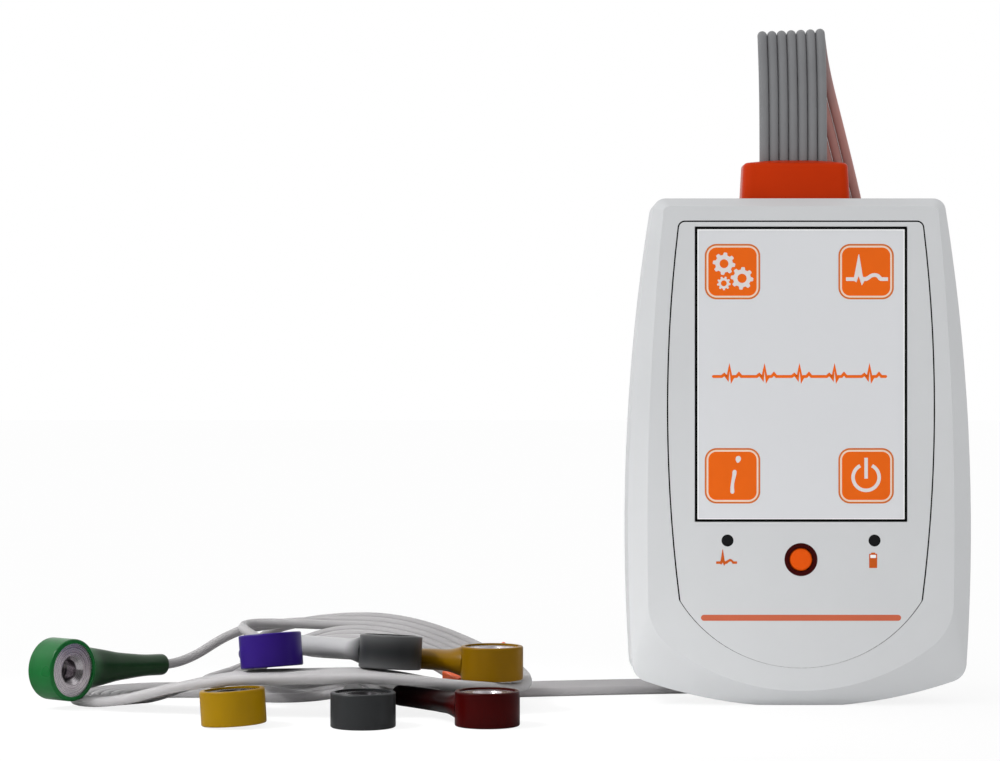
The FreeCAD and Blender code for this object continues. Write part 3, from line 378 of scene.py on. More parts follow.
# the colour of each drum, the tone that its neck turns to, and its gloss. The neck tones are
# painted shade, darkest on the green and the red, and the grey's is painted light on its lit top.
# The grey drum is painted shade, as dark as the black one, and so is the upper yellow, darker
# than the lower.
housing_colours = {
    "violet": ((0.020, 0.0050, 0.132), (0.012, 0.003, 0.080), 0.15),
    "green": ((0.0005, 0.090, 0.015), (0.001, 0.026, 0.003), 0.28),
    "grey": ((0.019, 0.020, 0.021), (0.300, 0.298, 0.305), 0.15),
    "yellow_upper": ((0.160, 0.080, 0.0003), (0.150, 0.075, 0.0003), 0.08),
    "yellow_lower": ((0.210, 0.118, 0.0003), (0.200, 0.110, 0.0003), 0.08),
    "black": ((0.019, 0.020, 0.021), (0.020, 0.020, 0.021), 0.15),
    "red": ((0.033, 0.0003, 0.0003), (0.006, 0.0003, 0.0003), 0.08)}
for name, (drum, neck_painted_light_and_shade, gloss) in housing_colours.items():
    finish_node("snap_" + name, moulded_plastic(
        "snap_" + name, drum, roughness=0.30, relief=0.06, gloss=gloss,
        centre=lead_ends[name]["centre"], outer=neck_painted_light_and_shade))


# ---------------------------------------------------------------- snap sockets
# A cup of nickel-plated brass pressed into each housing, turned on a lathe: its marks run round the
# bore. A ring of spring steel in the bore grips the electrode's stud.
nickel_plate = (0.66, 0.62, 0.65)
# painted shade: the sockets of the black and the lower yellow snap get a near black metal, which
# paints the shade and the reflection of the dark ribbon just above them
shaded_plate = (0.030, 0.028, 0.030)
shaded_plated = ("black", "yellow_lower")
metal_shadow = 0.86          # a metal's darker streaks are this share of its colour


def turned_metal(name, centre, turn, plate):
    """Plated brass from the lathe. The fine marks are a noise of the distance from the bore's axis,
    so they are rings, and they dull the plate; a broader cloud tints it."""
    material, tree, place = new_material(name)
    local = shade(tree, "ShaderNodeMapping",
                  {"Vector": place, "Location": tuple(centre), "Rotation": turn},
                  vector_type="TEXTURE").outputs["Vector"]
    flat = shade(tree, "ShaderNodeVectorMath", {0: local, 1: (0.0, 1.0, 1.0)},
                 operation="MULTIPLY").outputs["Vector"]
    radius = shade(tree, "ShaderNodeVectorMath", {0: flat}, operation="LENGTH").outputs["Value"]
    marks = shade(tree, "ShaderNodeTexNoise", {"W": radius, "Scale": 9000.0, "Detail": 3.0},
                  noise_dimensions="1D").outputs["Fac"]
    cloud = noise(tree, local, scale=320.0, detail=2.0)
    return surfaced(material, {
        "Base Color": ramp(tree, cloud, (0.3, dimmed(plate, metal_shadow)), (0.7, plate)),
        "Metallic": 1.0,
        "Roughness": span(tree, marks, start=(0.3, 0.7), end=(0.18, 0.34)),
        "Normal": bump(tree, marks, strength=0.15, depth=3e-5)})


def drawn_metal(name, colour, roughness, scale=1500.0, stretch=(1.0, 1.0, 0.05)):
    """Plated sheet or wire: a noise drawn out along one way tints it and breaks up its shine."""
    material, tree, place = new_material(name)
    along = shade(tree, "ShaderNodeMapping", {"Vector": place, "Scale": stretch})
    streaks = noise(tree, along.outputs["Vector"], scale, detail=3.0)
    return surfaced(material, {
        "Base Color": ramp(tree, streaks, (0.3, dimmed(colour, metal_shadow)), (0.7, colour)),
        "Metallic": 1.0,
        "Roughness": span(tree, streaks, end=(roughness - 0.08, roughness + 0.10)),
        "Normal": bump(tree, streaks, strength=0.1, depth=2e-5)})


for name, end in lead_ends.items():
    centre, neck, across, face = snap_axes(end)
    # the local axes are face, neck, across: the marks are rings round the first
    turn = Matrix(np.column_stack([face, neck, across]).tolist()).to_euler()
    plate = shaded_plate if name in shaded_plated else nickel_plate
    finish_node("snap_socket_" + name,
                turned_metal("turned_metal_" + name, centre, tuple(turn), plate))
finish_node("snap_springs", drawn_metal("spring_steel", (0.55, 0.54, 0.53), roughness=0.28))


# ---------------------------------------------------------------- ribbon clip
# A short sleeve of orange plastic, moulded in one piece and slipped over the ribbon. It keeps the
# wires side by side until they part.
finish_node("ribbon_clip", moulded_plastic("clip_plastic", (0.60, 0.100, 0.030), roughness=0.36,
                                           gloss=0.2))


# ---------------------------------------------------------------- lead plug
# One moulding of bright orange plastic on a black contact block. It is pushed into the case's top
# until it stands on the case, and its nine gilt contacts close round the pins of the socket, whose
# own block keeps the plain black that the frame gives it.
plug_middle = np.array([-0.0003, 0.0])
plug_foot = np.array([0.01095, 0.0045])          # half its width and depth where it stands
plug_shoulder = np.array([0.01062, 0.0041])      # and below its rim
plug_rim, plug_crown, plug_corner = 0.0010, 0.00065, 0.0020


def round_cornered(half, radius, steps=9):
    """Rectangles with round corners, from their half sizes and corner radii: each corner is a
    quarter circle about a point one radius in from both sides, and the sides are the straight runs
    between them."""
    half, radius = np.asarray(half), np.asarray(radius)[..., None]
    angle = np.radians(np.linspace(0, 90, steps)[None, :] + np.arange(4)[:, None] * 90)
    quarters = np.array([[1, 1], [-1, 1], [-1, -1], [1, -1]])
    corners = quarters * (half - radius)[..., None, :]
    arcs = radius[..., None, None] * np.stack([np.cos(angle), np.sin(angle)], axis=-1)
    return (corners[..., None, :] + arcs).reshape(*half.shape[:-1], 4 * steps, 2)


def plug_skin():
    """The plug's closed skin, ring by ring from its foot. The half sizes shrink in a straight
    taper; round the rim they draw in by one less the cosine of an angle while the height grows as
    its sine; over the crown they shrink to nothing and the height rises by one less the square of
    the share left."""
    low, high = np.array(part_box("plug_body"))
    climb = np.array([0.0, 0.02, 0.25, 0.5, 0.75, 1.0])[:, None]
    turn = np.radians(np.arange(15, 91, 15))[:, None]
    left = np.array([0.8, 0.6, 0.4, 0.2, 0.04])[:, None]
    top = high[2] - plug_rim
    drawn_in = plug_rim * (1 - np.cos(turn))
    half = np.vstack([plug_foot + (plug_shoulder - plug_foot) * climb, plug_shoulder - drawn_in,
                      (plug_shoulder - plug_rim) * left])
    height = np.concatenate([low[2] + (top - low[2]) * climb, top + plug_rim * np.sin(turn),
                             high[2] + plug_crown * (1 - left ** 2)])
    radius = np.concatenate([np.full_like(climb, plug_corner), plug_corner - drawn_in,
                             (plug_corner - plug_rim) * left])
    flat = round_cornered(half, radius[:, 0]) + plug_middle
    rings, count = flat.shape[:2]
    level = np.broadcast_to(height[:, :, None], (rings, count, 1))
    points = np.concatenate([flat, level], axis=2)
    index = np.arange(rings * count).reshape(rings, count)
    around = np.roll(index, -1, axis=1)
    sides = np.stack([index[:-1], around[:-1], around[1:], index[1:]], axis=-1)
    sides = sides.reshape(-1, 4).tolist()
    ends = [index[0][::-1].tolist(), index[-1].tolist()]
    mesh = bpy.data.meshes.new("plug_skin")
    mesh.from_pydata(points.reshape(-1, 3).tolist(), [], sides + ends)
    mesh.polygons.foreach_set("use_smooth", np.arange(len(mesh.polygons)) < len(sides))
    return put_in_scene("plug_skin", mesh)


orange_plastic = moulded_plastic("orange_plastic", (0.510, 0.030, 0.0002), roughness=0.32,
                                 relief=0.06, gloss=0.07)
finish_node("plug_body", orange_plastic)
plug = plug_skin()
plug.data.materials.append(orange_plastic)
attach(plug, "case")
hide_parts("plug_body")
finish_node("plug_block", moulded_plastic("black_plastic", (0.012, 0.012, 0.013),
                                          roughness=0.45))
gilt = drawn_metal("gold_contact", (0.86, 0.62, 0.24), roughness=0.22)
finish_node("plug_contacts", gilt)
finish_node("socket_pins", gilt)
for name, lead in wires.items():
    on_it = ["snap_" + name, "snap_socket_" + name]
    if name == "violet":
        on_it += ["plug_skin", "plug_block", "plug_contacts", "ribbon_clip", "snap_springs"]


# ---------------------------------------------------------------- case
# Two half shells moulded in light grey ABS with a fine spark-eroded texture, closed on a rubber
# seal and held by four long screws from the back.
shell_plastic = moulded_plastic("shell_plastic", (0.595, 0.606, 0.618), roughness=0.50,
                                grain=3200.0, relief=0.10, mottle=0.012, gloss=0.4)
finish_node("front_shell", shell_plastic)
finish_node("rear_shell", shell_plastic)
finish_node("shell_seal", moulded_plastic("seal_rubber", (0.020, 0.020, 0.021), roughness=0.7,
                                          gloss=0.2))
zinc = drawn_metal("zinc_steel", (0.60, 0.60, 0.58), roughness=0.32, scale=900.0,
                   stretch=(1.0, 1.0, 1.0))
finish_node("case_screws", zinc)
finish_node("board_screws", zinc)


# ---------------------------------------------------------------- battery door
# The cells' cover, moulded of the same plastic as the shells. It turns on a steel pin that is let
# into the back.
finish_node("battery_door", shell_plastic)
finish_node("door_hinge_pin", drawn_metal("nickel_steel", (0.62, 0.60, 0.57), roughness=0.25))


# ---------------------------------------------------------------- battery cells
# Two cells in a printed sleeve with bare steel ends. Their springs and plates are of nickelled
# steel, and keep the plain metal that the frame gives them.
bare_end, sleeve_body, copper_band = (0.52, 0.50, 0.47), (0.015, 0.016, 0.018), (0.50, 0.19, 0.045)


def sleeve(name, low, high):
    """Shrink sleeve: a dark body and a band of copper colour by one end, by the height along the
    cell, with fine wrinkles in the bump and in the shine."""
    material, tree, place = new_material(name)
    along = span(tree, parts_of(tree, place)["Z"], start=(low, high))
    wrinkle = noise(tree, place, scale=400.0, detail=3.0)
    return surfaced(material, {
        "Base Color": ramp(tree, along, (0.0, bare_end), (0.04, sleeve_body), (0.74, copper_band),
                           (0.95, bare_end), interpolation="CONSTANT"),
        "Metallic": 0.4,
        "Roughness": span(tree, wrinkle, end=(0.2, 0.36)),
        "Normal": bump(tree, wrinkle, strength=0.15, depth=1e-4)})


cells_low, cells_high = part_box("battery_cells")
finish_node("battery_cells", sleeve("cell_wrap", cells_low[2], cells_high[2]))


# ---------------------------------------------------------------- face panel
# A flat shield-shaped panel of the same grey plastic, let into the front with a fine groove all
# round it. Its holes show the window, the lamps and the button.
panel_front = -0.0100        # the panel and the window are flush here
finish_node("face_panel", moulded_plastic("panel_plastic", (0.600, 0.611, 0.623), roughness=0.47,
                                          grain=3600.0, relief=0.07, mottle=0.010, gloss=0.4))


# ---------------------------------------------------------------- display
# A reflective display behind a glass touch window. The module is taped to the board and sealed to
# the front wall by a foam frame; a flex folds round its lower edge to the board.
def window_glass(name, colour):
    """Glass over a pale reflective display: a smooth clear coat over a soft matt grey, which drifts
    a little in tone where the backlight's film lies uneven."""
    material, tree, place = new_material(name)
    drift = noise(tree, place, scale=28.0, detail=2.0)
    cells = noise(tree, place, scale=5000.0, detail=1.0)
    return surfaced(material, {
        "Base Color": ramp(tree, drift, (0.3, dimmed(colour, 0.988)), (0.7, colour)),
        "Roughness": span(tree, cells, end=(0.38, 0.48)),
        "Specular IOR Level": 0.3, "Coat Weight": 0.5, "Coat Roughness": 0.06})


finish_node("display_window", window_glass("display_glass", (0.680, 0.690, 0.712)))
finish_node("display_foam", moulded_plastic("foam", (0.030, 0.030, 0.031), roughness=0.9,
                                            grain=900.0, relief=0.6, gloss=0.1))
finish_node("display_tape", moulded_plastic("display_tape", (0.70, 0.68, 0.60), roughness=0.6,
                                            relief=0.2))
finish_node("display_flex", moulded_plastic("display_flex", (0.42, 0.18, 0.035), roughness=0.3,
                                            relief=0.04))
finish_node("display_module", drawn_metal("display_module", (0.50, 0.51, 0.52), roughness=0.35,
                                          scale=500.0))


# ---------------------------------------------------------------- display border
# A black line printed round the edge of the window, and just inside it a fine white line that is
# a painted highlight, the gleam on the window's edge. Both are films of ink that stand a hair
# proud of the glass.
print_sink = 0.00006         # a print's back lies this far inside what carries it
level_step = 0.00001         # each printed layer stands this much prouder than the one under it
black_line, highlight_line = 0.00045, 0.00022
outer_corner, inner_corner = 0.00012, 0.00006


def rounded_rectangle(width, height, radius, centre=(0.0, 0.0), steps=9):
    """The closed outline of one rectangle with round corners, about a centre."""
    return round_cornered((width / 2, height / 2), radius, steps) + centre


def raised(left, right, proud, closed=True, sink=print_sink):
    """A flat raised strip between two lines of (x, z) points: at each point its section is a
    rectangle from the left line to the right one, and from its sunk back to its proud front."""
    count = len(left)
    sunk = np.full((count, 1), panel_front + sink)
    out = np.full((count, 1), panel_front - proud)
    corners = [np.hstack([line[:, :1], level, line[:, 1:]])
               for line, level in ((left, sunk), (left, out), (right, out), (right, sunk))]
    index = np.arange(count * 4).reshape(count, 4)
    here, there = (index, np.roll(index, -1, axis=0)) if closed else (index[:-1], index[1:])
    sides = np.stack([here, np.roll(here, -1, axis=1), np.roll(there, -1, axis=1), there], axis=-1)
    faces = sides.reshape(-1, 4)
    if not closed:
        faces = np.vstack([faces, index[0][::-1], index[-1]])
    return np.stack(corners, axis=1).reshape(-1, 3), faces


def inked(material, *shapes):
    """The shapes, each with this ink."""
    return [(points, faces, material) for points, faces in shapes]


def front_piece(name, shapes):
    """One object on the case's front, of several shapes that each have their own material. Points
    that fall together are merged."""
    materials = list(dict.fromkeys(material for _, _, material in shapes))
    starts = np.cumsum([0] + [len(points) for points, _, _ in shapes])
    all_points = np.vstack([points for points, _, _ in shapes])
    all_faces = [face for (_, faces, _), start in zip(shapes, starts)
                 for face in (faces + start).tolist()]
    mesh = bpy.data.meshes.new(name)
    mesh.from_pydata(all_points.tolist(), [], all_faces)
    for material in materials:
        mesh.materials.append(material)
    which = np.concatenate([np.full(len(faces), materials.index(material))
                            for _, faces, material in shapes])
    mesh.polygons.foreach_set("material_index", which.astype(np.int32))
    solid = bmesh.new()
    solid.from_mesh(mesh)
    bmesh.ops.remove_doubles(solid, verts=solid.verts, dist=1e-8)
    bmesh.ops.recalc_face_normals(solid, faces=solid.faces)
    solid.to_mesh(mesh)
    solid.free()
    made = put_in_scene(name, mesh)
    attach(made, "case")


def ink(name, colour):
    """Screen-printed ink: a slightly uneven film with a fine ripple from the mesh."""
    return moulded_plastic(name, colour, roughness=0.4, grain=7000.0, relief=0.05, mottle=0.03,
                           gloss=0.12)


window_low, window_high = np.array(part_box("display_window"))[:, [0, 2]]
window_size = window_high - window_low
window_middle = (window_high + window_low) / 2
# black ink: the window's printed border, and the painted shade in the panel's groove
black_ink_and_groove_shade = ink("black_ink_and_groove_shade", (0.0005, 0.0005, 0.0006))
# white ink: the window's painted highlight, and the cell sign's printed charge mark
white_ink_and_highlight = ink("white_ink_and_highlight", (0.86, 0.86, 0.87))


def border(inset, width, proud):
    """A rectangular line printed at an inset from the window's edge."""
    outer = window_size - 2 * inset
    inner = outer - 2 * width
    return raised(rounded_rectangle(*outer, outer_corner, window_middle),
                  rounded_rectangle(*inner, inner_corner, window_middle), proud)


front_piece("display_border", inked(black_ink_and_groove_shade, border(0.0, black_line, 3 * level_step))
            + inked(white_ink_and_highlight, border(black_line, highlight_line, 2 * level_step)))


# ---------------------------------------------------------------- panel groove shade
# A thin black sheet round the face panel, a little behind its front and out from its edge:
# painted shade, the dark at the bottom of the groove.
groove_shade_width, groove_shade_overlap = 0.00032, 0.00002      # out from the panel's edge, and in under it
groove_shade_level, groove_shade_foot = -0.00022, 0.0007         # its face and its back, from the panel's front
panel_holes = [((0.0, 0.0293), 0.0034),          # button, then the two lamps: middle and reach
               ((-0.01465, 0.0331), 0.0013), ((0.01465, 0.0331), 0.0013)]


def panel_rim():
    """The panel's outer edge as (x, z) points: the vertices of its front that lie round no hole, in
    order of their angle about a point in its middle."""
    window_gap, panel_middle = 0.0002, (0.0, 0.05)
    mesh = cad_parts["face_panel"].data
    points = np.empty(len(mesh.vertices) * 3)
    mesh.vertices.foreach_get("co", points)
    points = points.reshape(-1, 3)
    flat = np.unique(points[points[:, 1] < panel_front + 1e-6][:, [0, 2]].round(7), axis=0)
    in_window = np.all(np.abs(flat - window_middle) < window_size / 2 + window_gap, axis=1)
    in_holes = [np.linalg.norm(flat - hole, axis=1) < reach for hole, reach in panel_holes]
    rim = flat[~(in_window | np.any(in_holes, axis=0))]
    away = rim - panel_middle
    return rim[np.argsort(np.arctan2(away[:, 1], away[:, 0]))]


rim = panel_rim()
run = unit(np.roll(rim, -1, axis=0) - np.roll(rim, 1, axis=0))
outward = np.stack([run[:, 1], -run[:, 0]], axis=1)
groove_shade = raised(rim + outward * groove_shade_width, rim - outward * groove_shade_overlap, groove_shade_level, sink=groove_shade_foot)
front_piece("panel_groove_shade", inked(black_ink_and_groove_shade, groove_shade))


# ---------------------------------------------------------------- touch symbols
# Four orange touch areas in the corners of the display, each an orange tile inside a fine outline
# with a pale symbol on it: gears for settings, a heart trace to record, an i, and the power sign.
symbol_ink = ink("symbol_ink", (0.690, 0.650, 0.640))
tile_ink = ink("tile_ink", (0.770, 0.122, 0.004))
outline_ink = ink("outline_ink", (0.600, 0.150, 0.030))
gap_ink = ink("gap_ink", (0.800, 0.620, 0.500))
mm = 0.001                   # the small drawings are given in millimetres
tile_rims = [(11.05, 2.35), (10.35, 2.02), (9.62, 1.62)]     # side and corner, from the outside in
tile_x = (-0.01366, 0.01297)
tile_z = (0.0867, 0.0460)
symbol_level = 3 * level_step


def filled(outline, proud):
    """A raised plate: the strip between an outline and its own middle point."""
    return raised(outline, np.broadcast_to(outline.mean(axis=0), outline.shape), proud)


def stroke(points, widths, proud, round_ends=True):
    """A raised line of the given widths through the points. At a point its sides lie along the
    half-way line between the runs before and after, half a width away over the cosine of half the
    turn. At a round end the width grows as the sine of an angle while the line runs on by one less
    its cosine."""
    least_cosine = 0.35
    points = np.asarray(points, float)
    widths = np.broadcast_to(np.asarray(widths, float), (len(points),))
    if round_ends:
        turn = np.radians([8, 30, 50, 70, 90])
        back, share = 1 - np.cos(turn), np.sin(turn)
        first, last = unit(points[1] - points[0]), unit(points[-1] - points[-2])
        head = points[0] + first * (back * widths[0] / 2)[:, None]
        tail = points[-1] - last * (back[::-1] * widths[-1] / 2)[:, None]
        points = np.vstack([head, points[1:-1], tail])
        widths = np.concatenate([share * widths[0], widths[1:-1], share[::-1] * widths[-1]])
    before, after = runs_beside(points)
    middle = unit(before + after)
    cosine = np.maximum(np.sum(middle * after, axis=1), least_cosine)
    side = np.stack([-middle[:, 1], middle[:, 0]], axis=1) * (widths / 2 / cosine)[:, None]
    return raised(points + side, points - side, proud, closed=False)


def between(upper, lower, centre, proud):
    """A raised strip between an upper and a lower line, given in millimetres from a centre."""
    return raised(centre + np.array(upper) * mm, centre + np.array(lower) * mm, proud, closed=False)


def gear(centre, tip, root, hole, teeth, turn, steps=144):
    """The rim and the hole of a toothed wheel: the rim's radius swings between root and tip as a
    flattened cosine of the angle."""
    flattening = 2.2
    angle = np.linspace(0, 2 * np.pi, steps, endpoint=False)
    swing = np.clip(flattening * np.cos(teeth * (angle + turn)), -1, 1)
    radius = (tip + root) / 2 + (tip - root) / 2 * swing
    way = np.stack([np.cos(angle), np.sin(angle)], axis=1)
    return centre + way * radius[:, None], centre + way * hole


def arc_points(centre, radius, start, stop, steps=48):
    """Points on a circle between two angles in degrees."""
    angle = np.radians(np.linspace(start, stop, steps))
    return np.asarray(centre) + radius * np.stack([np.cos(angle), np.sin(angle)], axis=1)


def symbol(name, centre, *shapes):
    """One touch area: an outline, its pale gap and the orange tile, and pale shapes on the tile."""
    rims = [rounded_rectangle(size * mm, size * mm, radius * mm, centre, steps=13)
            for size, radius in tile_rims]
    tile = (inked(outline_ink, raised(rims[0], rims[1], 2 * level_step))
            + inked(gap_ink, raised(rims[1], rims[2], level_step))
            + inked(tile_ink, filled(rims[2], 2 * level_step)))
    front_piece(name, tile + inked(symbol_ink, *shapes))


gears_at = np.array([tile_x[0], tile_z[0]])
# each wheel's middle, its tip, root and hole radii, its teeth and its turn
gears = [((-1.69, 1.58), (2.24, 1.74, 0.88), 8, 0.14),
         ((1.90, -1.34), (2.25, 1.75, 0.92), 8, 0.105),
         ((-1.73, -2.33), (1.36, 1.04, 0.58), 9, 0.14)]
symbol("symbol_settings", gears_at, *[
    raised(*gear(gears_at + np.array(middle) * mm, *(radius * mm for radius in radii), teeth, turn),
           symbol_level) for middle, radii, teeth, turn in gears])

# one heart beat, as its upper and its lower edge: the flat line, the sharp spike with a notch under
# it, and the low rounded wave after it
beat_upper = [(-4.01, -1.13), (-2.42, -1.13), (-2.30, -0.60), (-1.53, 3.42), (-1.38, 3.42),
              (-0.68, -0.85), (-0.52, -1.10), (-0.05, -1.07), (0.43, -0.77), (0.78, -0.55),
              (1.17, -0.36), (1.68, -0.28), (2.21, -0.37), (2.64, -0.57), (2.90, -0.87),
              (3.15, -1.13), (4.37, -1.13)]
beat_lower = [(-4.01, -1.85), (-2.40, -1.85), (-1.93, -2.12), (-1.49, -0.84), (-1.49, -0.84),
              (-0.87, -2.78), (-0.34, -1.88), (0.15, -1.85), (0.62, -1.57), (0.92, -1.33),
              (1.25, -1.12), (1.66, -1.03), (2.05, -1.10), (2.31, -1.37), (2.50, -1.65),
              (2.85, -1.85), (4.37, -1.85)]
trace_at = np.array([tile_x[1], tile_z[0]])
symbol("symbol_trace", trace_at, between(beat_upper, beat_lower, trace_at, symbol_level))

letter_at = np.array([tile_x[0], tile_z[1]])
stem = np.array([(0.46, 1.20), (0.40, 0.68), (0.33, 0.08), (0.16, -0.71), (0.01, -1.51),
                 (-0.06, -2.31), (-0.03, -3.05), (-0.02, -3.58)])
stem_widths = np.array([0.80, 0.84, 0.76, 0.66, 0.65, 0.72, 0.80, 0.78])
dot = np.array([(1.02, 2.60), (1.10, 3.05), (1.25, 3.97)])
dot_widths = np.array([0.70, 0.98, 1.06])
symbol("symbol_information", letter_at,
       stroke(letter_at + stem * mm, stem_widths * mm, symbol_level),
       stroke(letter_at + dot * mm, dot_widths * mm, symbol_level))

power_at = np.array([tile_x[1], tile_z[1]])
power_width, power_gap = 0.00070, 27     # the line's width, and degrees to each side of the bar
power_ring = arc_points(power_at + (0.0, -0.00030), 0.00260, 90 + power_gap, 450 - power_gap)
power_bar = power_at + np.array([(0.0, 3.6), (0.0, -0.56)]) * mm
symbol("symbol_power", power_at, stroke(power_ring, power_width, symbol_level, round_ends=False),
       stroke(power_bar, power_width, symbol_level, round_ends=False))


# ---------------------------------------------------------------- display trace and lower stripe
# Plain decoration in orange ink: a row of small heart beats across the middle of the display, and a
# stripe with round ends across the lower housing.
row_width, beat_height, row_line = 0.0349, 0.0019, 0.00058
row_middle = (-0.0003, 0.0658)
beats = 5
beat = np.array([(-0.50, 0.0), (-0.22, 0.0), (-0.15, 0.22), (-0.09, 0.0), (-0.05, -0.2), (0.0, 1.0),
                 (0.06, -0.35), (0.11, 0.0), (0.20, 0.0), (0.27, 0.30), (0.34, 0.0)])
row = np.vstack([beat * (row_width / beats, beat_height)
                 + ((i - (beats - 1) / 2) * row_width / beats, 0.0) for i in range(beats)]
                + [[(row_width / 2, 0.0)]])
front_piece("display_trace", inked(tile_ink, stroke(row + row_middle, row_line, level_step)))
stripe = np.array([(-0.01995, 0.0177), (0.01995, 0.0177)])
stripe_width = 0.0012
stripe_ink = ink("stripe_ink", (0.560, 0.128, 0.062))
front_piece("housing_stripe", inked(stripe_ink, stroke(stripe, stripe_width, level_step)))


# ---------------------------------------------------------------- lamps and their signs
# Two small round lenses of smoked plastic, dark until a diode behind lights them. Under each an
# orange sign is printed: a heart beat for recording, a cell for the battery.
lens = moulded_plastic("lamp_plastic", (0.008, 0.008, 0.009), roughness=0.25, relief=0.02,
                       gloss=0.2)
finish_node("record_lamp_lens", lens)
finish_node("battery_lamp_lens", lens)
finish_node("lamp_diodes", moulded_plastic("diode_plastic", (0.70, 0.66, 0.42), roughness=0.3,
                                           relief=0.03))
sign_ink = ink("sign_ink", (0.540, 0.092, 0.008))
record_at = (-0.01483, 0.0287)
record_upper = [(-2.09, 0.255), (-1.32, 0.255), (-1.20, 0.45), (-0.83, 2.65), (-0.73, 2.65),
                (-0.36, 0.32), (-0.20, 0.28), (0.33, 0.60), (0.50, 0.70), (0.70, 0.76),
                (1.10, 0.60), (1.42, 0.255), (2.09, 0.255)]
record_lower = [(-2.09, -0.255), (-1.35, -0.255), (-1.03, -0.42), (-0.78, -0.02), (-0.78, -0.02),
                (-0.49, -0.68), (-0.25, -0.28), (0.10, -0.22), (0.45, 0.12), (0.73, 0.23),
                (0.98, 0.10), (1.20, -0.255), (2.09, -0.255)]
front_piece("record_sign",
            inked(sign_ink, between(record_upper, record_lower, record_at, level_step)))
cell_at = np.array([0.01438, 0.02905])
cell_corner = 0.0001
# the cell, its pole and its white charge mark: width, height, how far up, printed layer and ink
cell_parts = [(1.60, 2.85, 0.0, 1, sign_ink), (0.85, 0.50, 1.40, 2, sign_ink),
              (1.12, 0.62, 0.88, 3, white_ink_and_highlight)]
front_piece("battery_sign", [
    (*filled(rounded_rectangle(width * mm, height * mm, cell_corner, cell_at + (0.0, up * mm)),
             layer * level_step), colour)
    for width, height, up, layer, colour in cell_parts])


# ---------------------------------------------------------------- event button
# A small orange cap in a dark red bezel. It presses a short way against the switch behind it, and
# its plunger moves with it. The switch's body keeps the frame's plain black.
finish_node("event_button", moulded_plastic("button_plastic", (0.740, 0.086, 0.001),
                                            roughness=0.33, relief=0.04, gloss=0.1))
finish_node("button_ring", moulded_plastic("dark_red_plastic", (0.042, 0.0008, 0.0006),
                                           roughness=0.30, relief=0.04, gloss=0.1))
finish_node("switch_plunger", moulded_plastic("white_plastic", (0.72, 0.72, 0.70), roughness=0.4))


# ---------------------------------------------------------------- circuit board
# Green laminate with the processor, memory card, buzzer and a screened radio on its back. These
# keep the plain black and the plain metal that the frame gives them.
def laminate(name, colour):
    """Solder mask over glass cloth: a fine weave in the bump, and lighter lines where copper lies
    under the mask."""
    material, tree, place = new_material(name)
    upright = shade(tree, "ShaderNodeMapping", {
        "Vector": place, "Rotation": (math.radians(90), 0.0, 0.0)}).outputs["Vector"]
    lines = shade(tree, "ShaderNodeTexBrick", {
        "Vector": upright, "Scale": 260.0, "Color1": colour, "Color2": dimmed(colour, 0.9),
        "Mortar": dimmed(colour, 1.5), "Mortar Size": 0.03})
    weave = noise(tree, place, scale=1800.0, detail=1.0)
    return surfaced(material, {
        "Base Color": lines.outputs["Color"],
        "Roughness": span(tree, weave, end=(0.28, 0.42)),
        "Normal": bump(tree, weave, strength=0.15, depth=5e-5)})


finish_node("main_board", laminate("board_laminate", (0.010, 0.090, 0.035)))


# ---------------------------------------------------------------- floor and light
# A plain white floor and a soft even studio: light from all round, a little stronger from the left,
# with one broad soft lamp at the front left and a small one over the leads. Shiny parts mirror a
# room that is dimmer in front of the object.
floor_edge = 4.0
floor_white = 0.86           # how much of the floor the camera sees as plain white, not as lit
floor_tone, floor_mirrored = 0.92, 0.30          # its grey as it is lit, and as shiny parts see it
room_level, room_slope = 0.970, -0.39            # the room's light, and how it falls towards +X
white = (1.0, 1.0, 1.0)


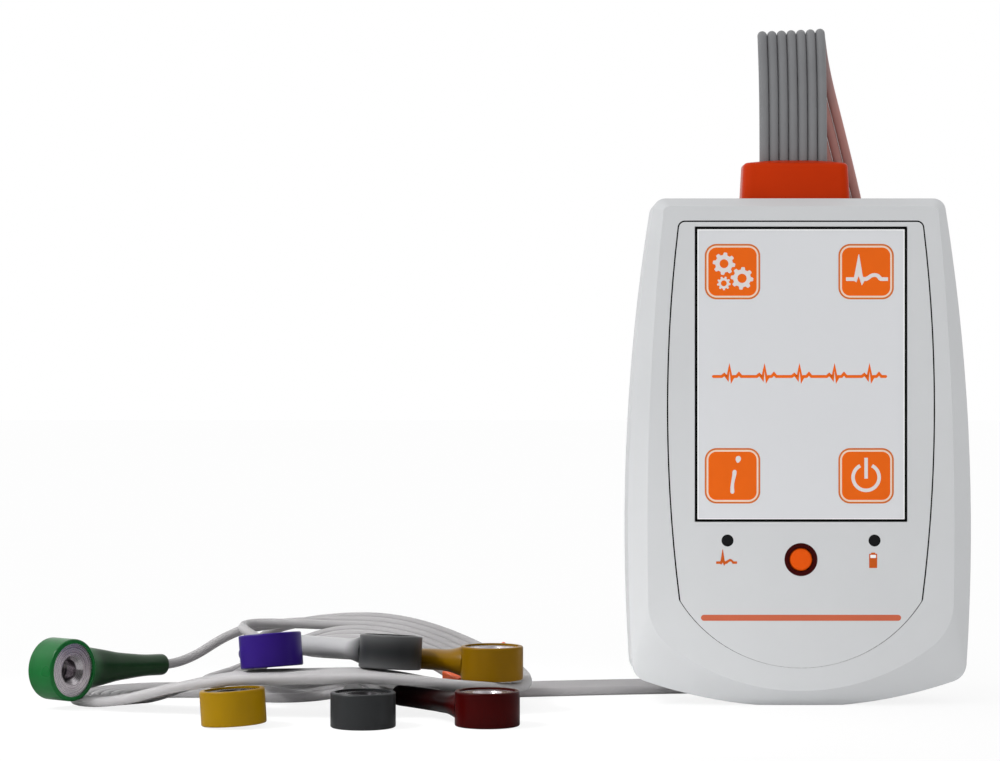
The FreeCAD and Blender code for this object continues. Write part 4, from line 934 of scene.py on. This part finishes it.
def studio_floor():
    """A wide flat sheet of four points."""
    mesh = bpy.data.meshes.new("floor")
    mesh.from_pydata([(-floor_edge, -floor_edge, 0), (floor_edge, -floor_edge, 0),
                      (floor_edge, floor_edge, 0), (-floor_edge, floor_edge, 0)],
                     [], [(0, 1, 2, 3)])
    paint = bpy.data.materials.new("floor")
    tree = bare_tree(paint)
    ray = shade(tree, "ShaderNodeLightPath").outputs
    share = reckoned(tree, "MULTIPLY", ray["Is Camera Ray"], floor_white)
    tone = span(tree, ray["Is Glossy Ray"], end=(floor_tone, floor_mirrored))
    matt = shade(tree, "ShaderNodeBsdfDiffuse", {"Color": tone})
    glow = shade(tree, "ShaderNodeEmission", {"Color": white, "Strength": 1.0})
    both = shade(tree, "ShaderNodeMixShader", {
        "Fac": share, 1: matt.outputs["BSDF"], 2: glow.outputs["Emission"]})
    shade(tree, "ShaderNodeOutputMaterial", {"Surface": both.outputs["Shader"]})
    mesh.materials.append(paint)
    return put_in_scene("floor", mesh)


def studio_light():
    """The world: lit rays see a level that slopes along X, seen and mirrored ones see plain white,
    which for mirrored ones fades towards -Y."""
    world = bpy.data.worlds.new("studio")
    tree = bare_tree(world)
    toward = shade(tree, "ShaderNodeTexCoord").outputs["Generated"]
    slope = shade(tree, "ShaderNodeVectorMath", {0: toward, 1: (room_slope, 0.0, 0.0)},
                  operation="DOT_PRODUCT").outputs["Value"]
    level = reckoned(tree, "ADD", slope, room_level)
    around = shade(tree, "ShaderNodeBackground", {"Color": white, "Strength": level})
    ray = shade(tree, "ShaderNodeLightPath").outputs
    room = span(tree, parts_of(tree, toward)["Y"], start=(-0.45, 0.10), end=(0.08, 1.0))
    mirrored = span(tree, ray["Is Glossy Ray"], end=(1.0, room))
    plain = shade(tree, "ShaderNodeBackground", {"Color": white, "Strength": mirrored})
    direct = reckoned(tree, "MAXIMUM", ray["Is Camera Ray"], ray["Is Glossy Ray"])
    either = reckoned(tree, "MAXIMUM", direct, ray["Is Transmission Ray"])
    mixed = shade(tree, "ShaderNodeMixShader", {
        "Fac": either, 1: around.outputs["Background"], 2: plain.outputs["Background"]})
    shade(tree, "ShaderNodeOutputWorld", {"Surface": mixed.outputs["Shader"]})
    return world


def soft_lamp(name, size, watts, place, toward, spread=180.0):
    """A square soft lamp at a place, turned to shine towards a point, within a cone of so many
    degrees."""
    light = bpy.data.lights.new(name, "AREA")
    light.size = size
    light.energy = watts
    light.spread = math.radians(spread)
    aim = (Vector(toward) - Vector(place)).to_track_quat("-Z", "Y")
    put_in_scene(name, light).matrix_world = Matrix.Translation(place) @ aim.to_matrix().to_4x4()


studio_floor()
bpy.context.scene.world = studio_light()
soft_lamp("key", size=0.35, watts=0.5, place=(-0.75, -0.75, 0.60), toward=(-0.05, 0.0, 0.05))
soft_lamp("over_leads", size=0.12, watts=0.045, place=(-0.30, -0.10, 0.25),
          toward=(-0.10, -0.028, 0.0), spread=22.0)
bpy.context.scene.view_settings.view_transform = "Standard"
